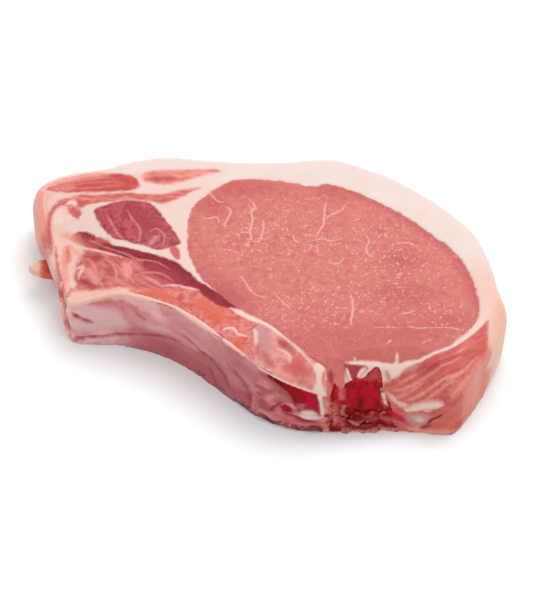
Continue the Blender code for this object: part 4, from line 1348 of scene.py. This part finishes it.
def make_tag():
    """The scrap of fat that hangs from the wall at the tail end: the solid's shape, eased,
    raised a little, and with its root led further into the flesh."""
    bm = bmesh.new()
    bm.from_mesh(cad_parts["flank_tag"].data)
    bmesh.ops.remove_doubles(bm, verts=bm.verts, dist=0.01 * MM)
    tag = placed("flank_tag_fat", bm)
    worked_in(tag, "REMESH", mode="VOXEL", voxel_size=0.25 * MM)
    eased(tag, 6)
    points = points_of(tag)
    low, high = points.min(0), points.max(0)
    share = (points[:, 0] - low[0]) / (high[0] - low[0])
    points[:, 0] += 4.0 * share
    points[:, 2] += 1.6 + 0.5 * ripple(points, 2.5, 41)
    move(tag, points)
    mark(tag, root=points[:, 0] - (high[0] - 3.5))
    return tag


def lumps(name, balls, voxel):
    """Small balls, each X, Y, height and radius, grown together into one piece."""
    bm = bmesh.new()
    for x, y, z, radius in balls:
        bmesh.ops.create_icosphere(bm, subdivisions=2, radius=radius * MM,
                                   matrix=Matrix.Translation(Vector((x, y, z)) * MM))
    piece = placed(name, bm)
    worked_in(piece, "REMESH", mode="VOXEL", voxel_size=voxel * MM)
    eased(piece, 4)
    return piece


def roughened(piece, wave, way, lowest=-math.inf):
    """Moves a piece's points one way by a wave of a height, a size and a seed, but not
    below the lowest height, and gives them."""
    points = points_of(piece)
    points += uneven(points, wave)[:, None] * np.array(way)
    points[:, 2] = np.maximum(points[:, 2], lowest)
    move(piece, points)
    return points


def make_foot_shred():
    """The torn edge of membrane along the foot of the wall under the rib's head."""
    chance = np.random.default_rng(51)
    path = spline(FOOT_LINE, 0.8, closed=False)
    share = np.linspace(0, 1, len(path))
    wave = np.sin(share * 41) + 0.6 * np.sin(share * 67 + 1)
    balls = []
    for (x, y), swing, at in zip(path, wave, share):
        thin = 0.5 + 0.35 * smooth(min(at, 1 - at) / 0.1) + 0.2 * chance.random()
        balls.append((x, y - 0.5 - 0.25 * swing, 1.5 + 0.5 * swing, thin))
    piece = lumps("foot_shred", balls, 0.2)
    points = roughened(piece, (0.2, 1.3, 52), (0.3, -1.0, 0.6), FLOOR_GAP)
    # Tone by height and noise: low down the shred takes its painted shade, and on its crests a
    # painted highlight
    mark(piece, crest=0.5 * (points[:, 2] - 2.2) + 0.6 * ripple(points, 4.0, 56))
    return piece


def make_corner_shred():
    """The loose strand of flesh down the corner of the tail end."""
    chance = np.random.default_rng(53)
    path = spline(STRAND, 0.6, closed=False, datum=(*DATUM, 0.0))
    share = np.linspace(0, 1, len(path))
    balls = []
    for (x, y, z), at in zip(path, share):
        thick = 0.9 + 0.5 * math.sin(3 * at + 0.4) + 0.25 * chance.random()
        balls.append((x - 0.3 * chance.random(), y, z, thick))
        if chance.random() < 0.25:
            balls.append((x - 0.9, y + 0.6, z - 0.6, 0.5 * thick))
    piece = lumps("corner_shred", balls, 0.25)
    points = roughened(piece, (0.3, 2.0, 54), (-1.0, -0.5, 0.3), FLOOR_GAP)
    mark(piece, crest=ripple(points, 3.0, 55))
    return piece


def make_crumbs():
    """Crumbs of marrow and bone that the saw left on the wall."""
    chance = np.random.default_rng(57)
    balls = []
    for _ in range(CRUMBS):
        x, z = chance.uniform(20, 40), chance.uniform(0.8, 10)
        wall = np.interp(x, *np.transpose(SAWN_WALL))
        balls.append((x + DATUM[0], wall + DATUM[1] - 0.3, z, chance.uniform(0.3, 0.8)))
    piece = lumps("marrow_crumbs", balls, 0.2)
    points = roughened(piece, (0.35, 0.9, 58), (0.6, -1.0, 0.8))
    # The crumbs' lightest colour, a painted highlight, falls where this noise is high
    mark(piece, crest=ripple(points, 1.6, 59))
    return piece


def make_floor():
    """A floor that runs out of sight."""
    bm = bmesh.new()
    bmesh.ops.create_grid(bm, x_segments=2, y_segments=2, size=4.0)
    return placed("floor", bm)


def make_lights(stage):
    """An even sky and one large soft lamp above the back right."""
    world = bpy.data.worlds.new("studio")
    bpy.context.scene.world = world
    world.use_nodes = True
    sky = world.node_tree.nodes["Background"]
    sky.inputs["Color"].default_value = (1.0, 1.0, 1.0, 1.0)
    sky.inputs["Strength"].default_value = stage.sky
    lamp = bpy.data.lights.new("key", "AREA")
    lamp.shape = "DISK"
    lamp.size = 0.7
    lamp.energy = stage.key
    key = bpy.data.objects.new("key", lamp)
    key.location = (0.25, 0.35, 0.9)
    key.rotation_euler = Vector(key.location).to_track_quat("Z", "Y").to_euler()
    bpy.context.scene.collection.objects.link(key)


def make_camera():
    """A long lens that looks down on the rib side."""
    camera = bpy.data.objects.new("camera", bpy.data.cameras.new("camera"))
    away = Vector((0.0, -math.cos(CAMERA_ABOVE), math.sin(CAMERA_ABOVE)))
    camera.location = (Vector(CAMERA_TARGET) + away * CAMERA_FAR) * MM
    camera.rotation_euler = (math.pi / 2 - CAMERA_ABOVE, 0.0, 0.0)
    camera.data.lens = LENS
    camera.data.clip_start = 0.01
    bpy.context.scene.collection.objects.link(camera)
    bpy.context.scene.camera = camera


# ---------------------------------------------------------------------------- operators

class CHOP_OT_flesh(bpy.types.Operator):
    """Model the muscles and fat"""
    bl_idname = "chop.flesh"
    bl_label = "Flesh"

    def execute(self, context):
        scene = context.scene
        finished(make_flesh(scene.chop_sizes), flesh_material(scene.chop_colours), "fat",
                 "fat", "loin_eye", "rib_cap_muscle", "rib_strip_muscle", "back_muscle",
                 "intercostal_muscle", "rib_side_meat", "belly_muscle", "flank_muscle",
                 "skin_muscle")
        return {"FINISHED"}


class CHOP_OT_membrane(bpy.types.Operator):
    """Model the membrane over the rib"""
    bl_idname = "chop.membrane"
    bl_label = "Rib membrane"

    def execute(self, context):
        scene = context.scene
        finished(make_membrane(scene.chop_sizes), membrane_material(scene.chop_colours),
                 "rib_bone", "rib_bone")
        return {"FINISHED"}


class CHOP_OT_bones(bpy.types.Operator):
    """Model the sawn bones by the backbone"""
    bl_idname = "chop.bones"
    bl_label = "Sawn bones"

    def execute(self, context):
        scene = context.scene
        finished(make_rib_head(scene.chop_sizes), bone_material(scene.chop_colours),
                 "rib_head", "rib_head")
        finished(make_chine(scene.chop_sizes), marrow_material(scene.chop_colours),
                 "chine_bone", "chine_bone")
        return {"FINISHED"}


class CHOP_OT_scraps(bpy.types.Operator):
    """Model the scraps that hang from the chop's edge"""
    bl_idname = "chop.scraps"
    bl_label = "Scraps"

    def execute(self, context):
        scene = context.scene
        shades = scene.chop_colours
        finished(make_tag(), tag_material(shades), "flank_tag", "flank_tag")
        # The foot's shred: painted shade low down and in its hollows, its own torn colour
        # between, and the deep membrane colour as a painted highlight on its crests
        finished(make_foot_shred(),
                 shred_material("foot_shred", shades.shred_deep, shades.shred,
                                shades.membrane_deep), "rib_bone")
        finished(make_corner_shred(),
                 shred_material("corner_shred", shades.skin_lean, shades.blush,
                                shades.peach), "fat")
        # The crumbs: their lightest colour is a painted highlight
        finished(make_crumbs(),
                 shred_material("marrow_crumbs", shades.crimson, shades.crumb,
                                shades.crumb_highlight), "chine_bone")
        return {"FINISHED"}


class CHOP_OT_stage(bpy.types.Operator):
    """Set the floor, the light and the camera"""
    bl_idname = "chop.stage"
    bl_label = "Stage"

    def execute(self, context):
        scene = context.scene
        floor = make_floor()
        floor.data.materials.append(floor_material(scene.chop_colours))
        make_lights(scene.chop_stage)
        make_camera()
        scene.view_settings.view_transform = "Standard"
        return {"FINISHED"}


OPERATORS = (CHOP_OT_flesh, CHOP_OT_membrane, CHOP_OT_bones, CHOP_OT_scraps, CHOP_OT_stage)


class CHOP_PT_panel(bpy.types.Panel):
    """The chop's pieces, in the order they are made"""
    bl_idname = "CHOP_PT_panel"
    bl_label = "Raw pork chop"
    bl_space_type = "VIEW_3D"
    bl_region_type = "UI"
    bl_category = "Chop"

    def draw(self, context):
        scene = context.scene
        for group in (scene.chop_sizes, scene.chop_colours, scene.chop_stage):
            box = self.layout.box()
            for name in group.bl_rna.properties.keys():
                if name not in {"rna_type", "name"}:
                    box.prop(group, name)
        for operator in OPERATORS:
            self.layout.operator(operator.bl_idname)


CLASSES = (ChopSizes, ChopColours, ChopStage, *OPERATORS, CHOP_PT_panel)
GROUPS = {"chop_sizes": ChopSizes, "chop_colours": ChopColours, "chop_stage": ChopStage}


def register():
    for each in CLASSES:
        bpy.utils.register_class(each)
    for name, group in GROUPS.items():
        setattr(bpy.types.Scene, name, PointerProperty(type=group))


def unregister():
    for name in GROUPS:
        delattr(bpy.types.Scene, name)
    for each in reversed(CLASSES):
        bpy.utils.unregister_class(each)


def main():
    register()
    bpy.ops.chop.flesh()
    bpy.ops.chop.membrane()
    bpy.ops.chop.bones()
    bpy.ops.chop.scraps()
    bpy.ops.chop.stage()


if __name__ == "__main__":
    main()
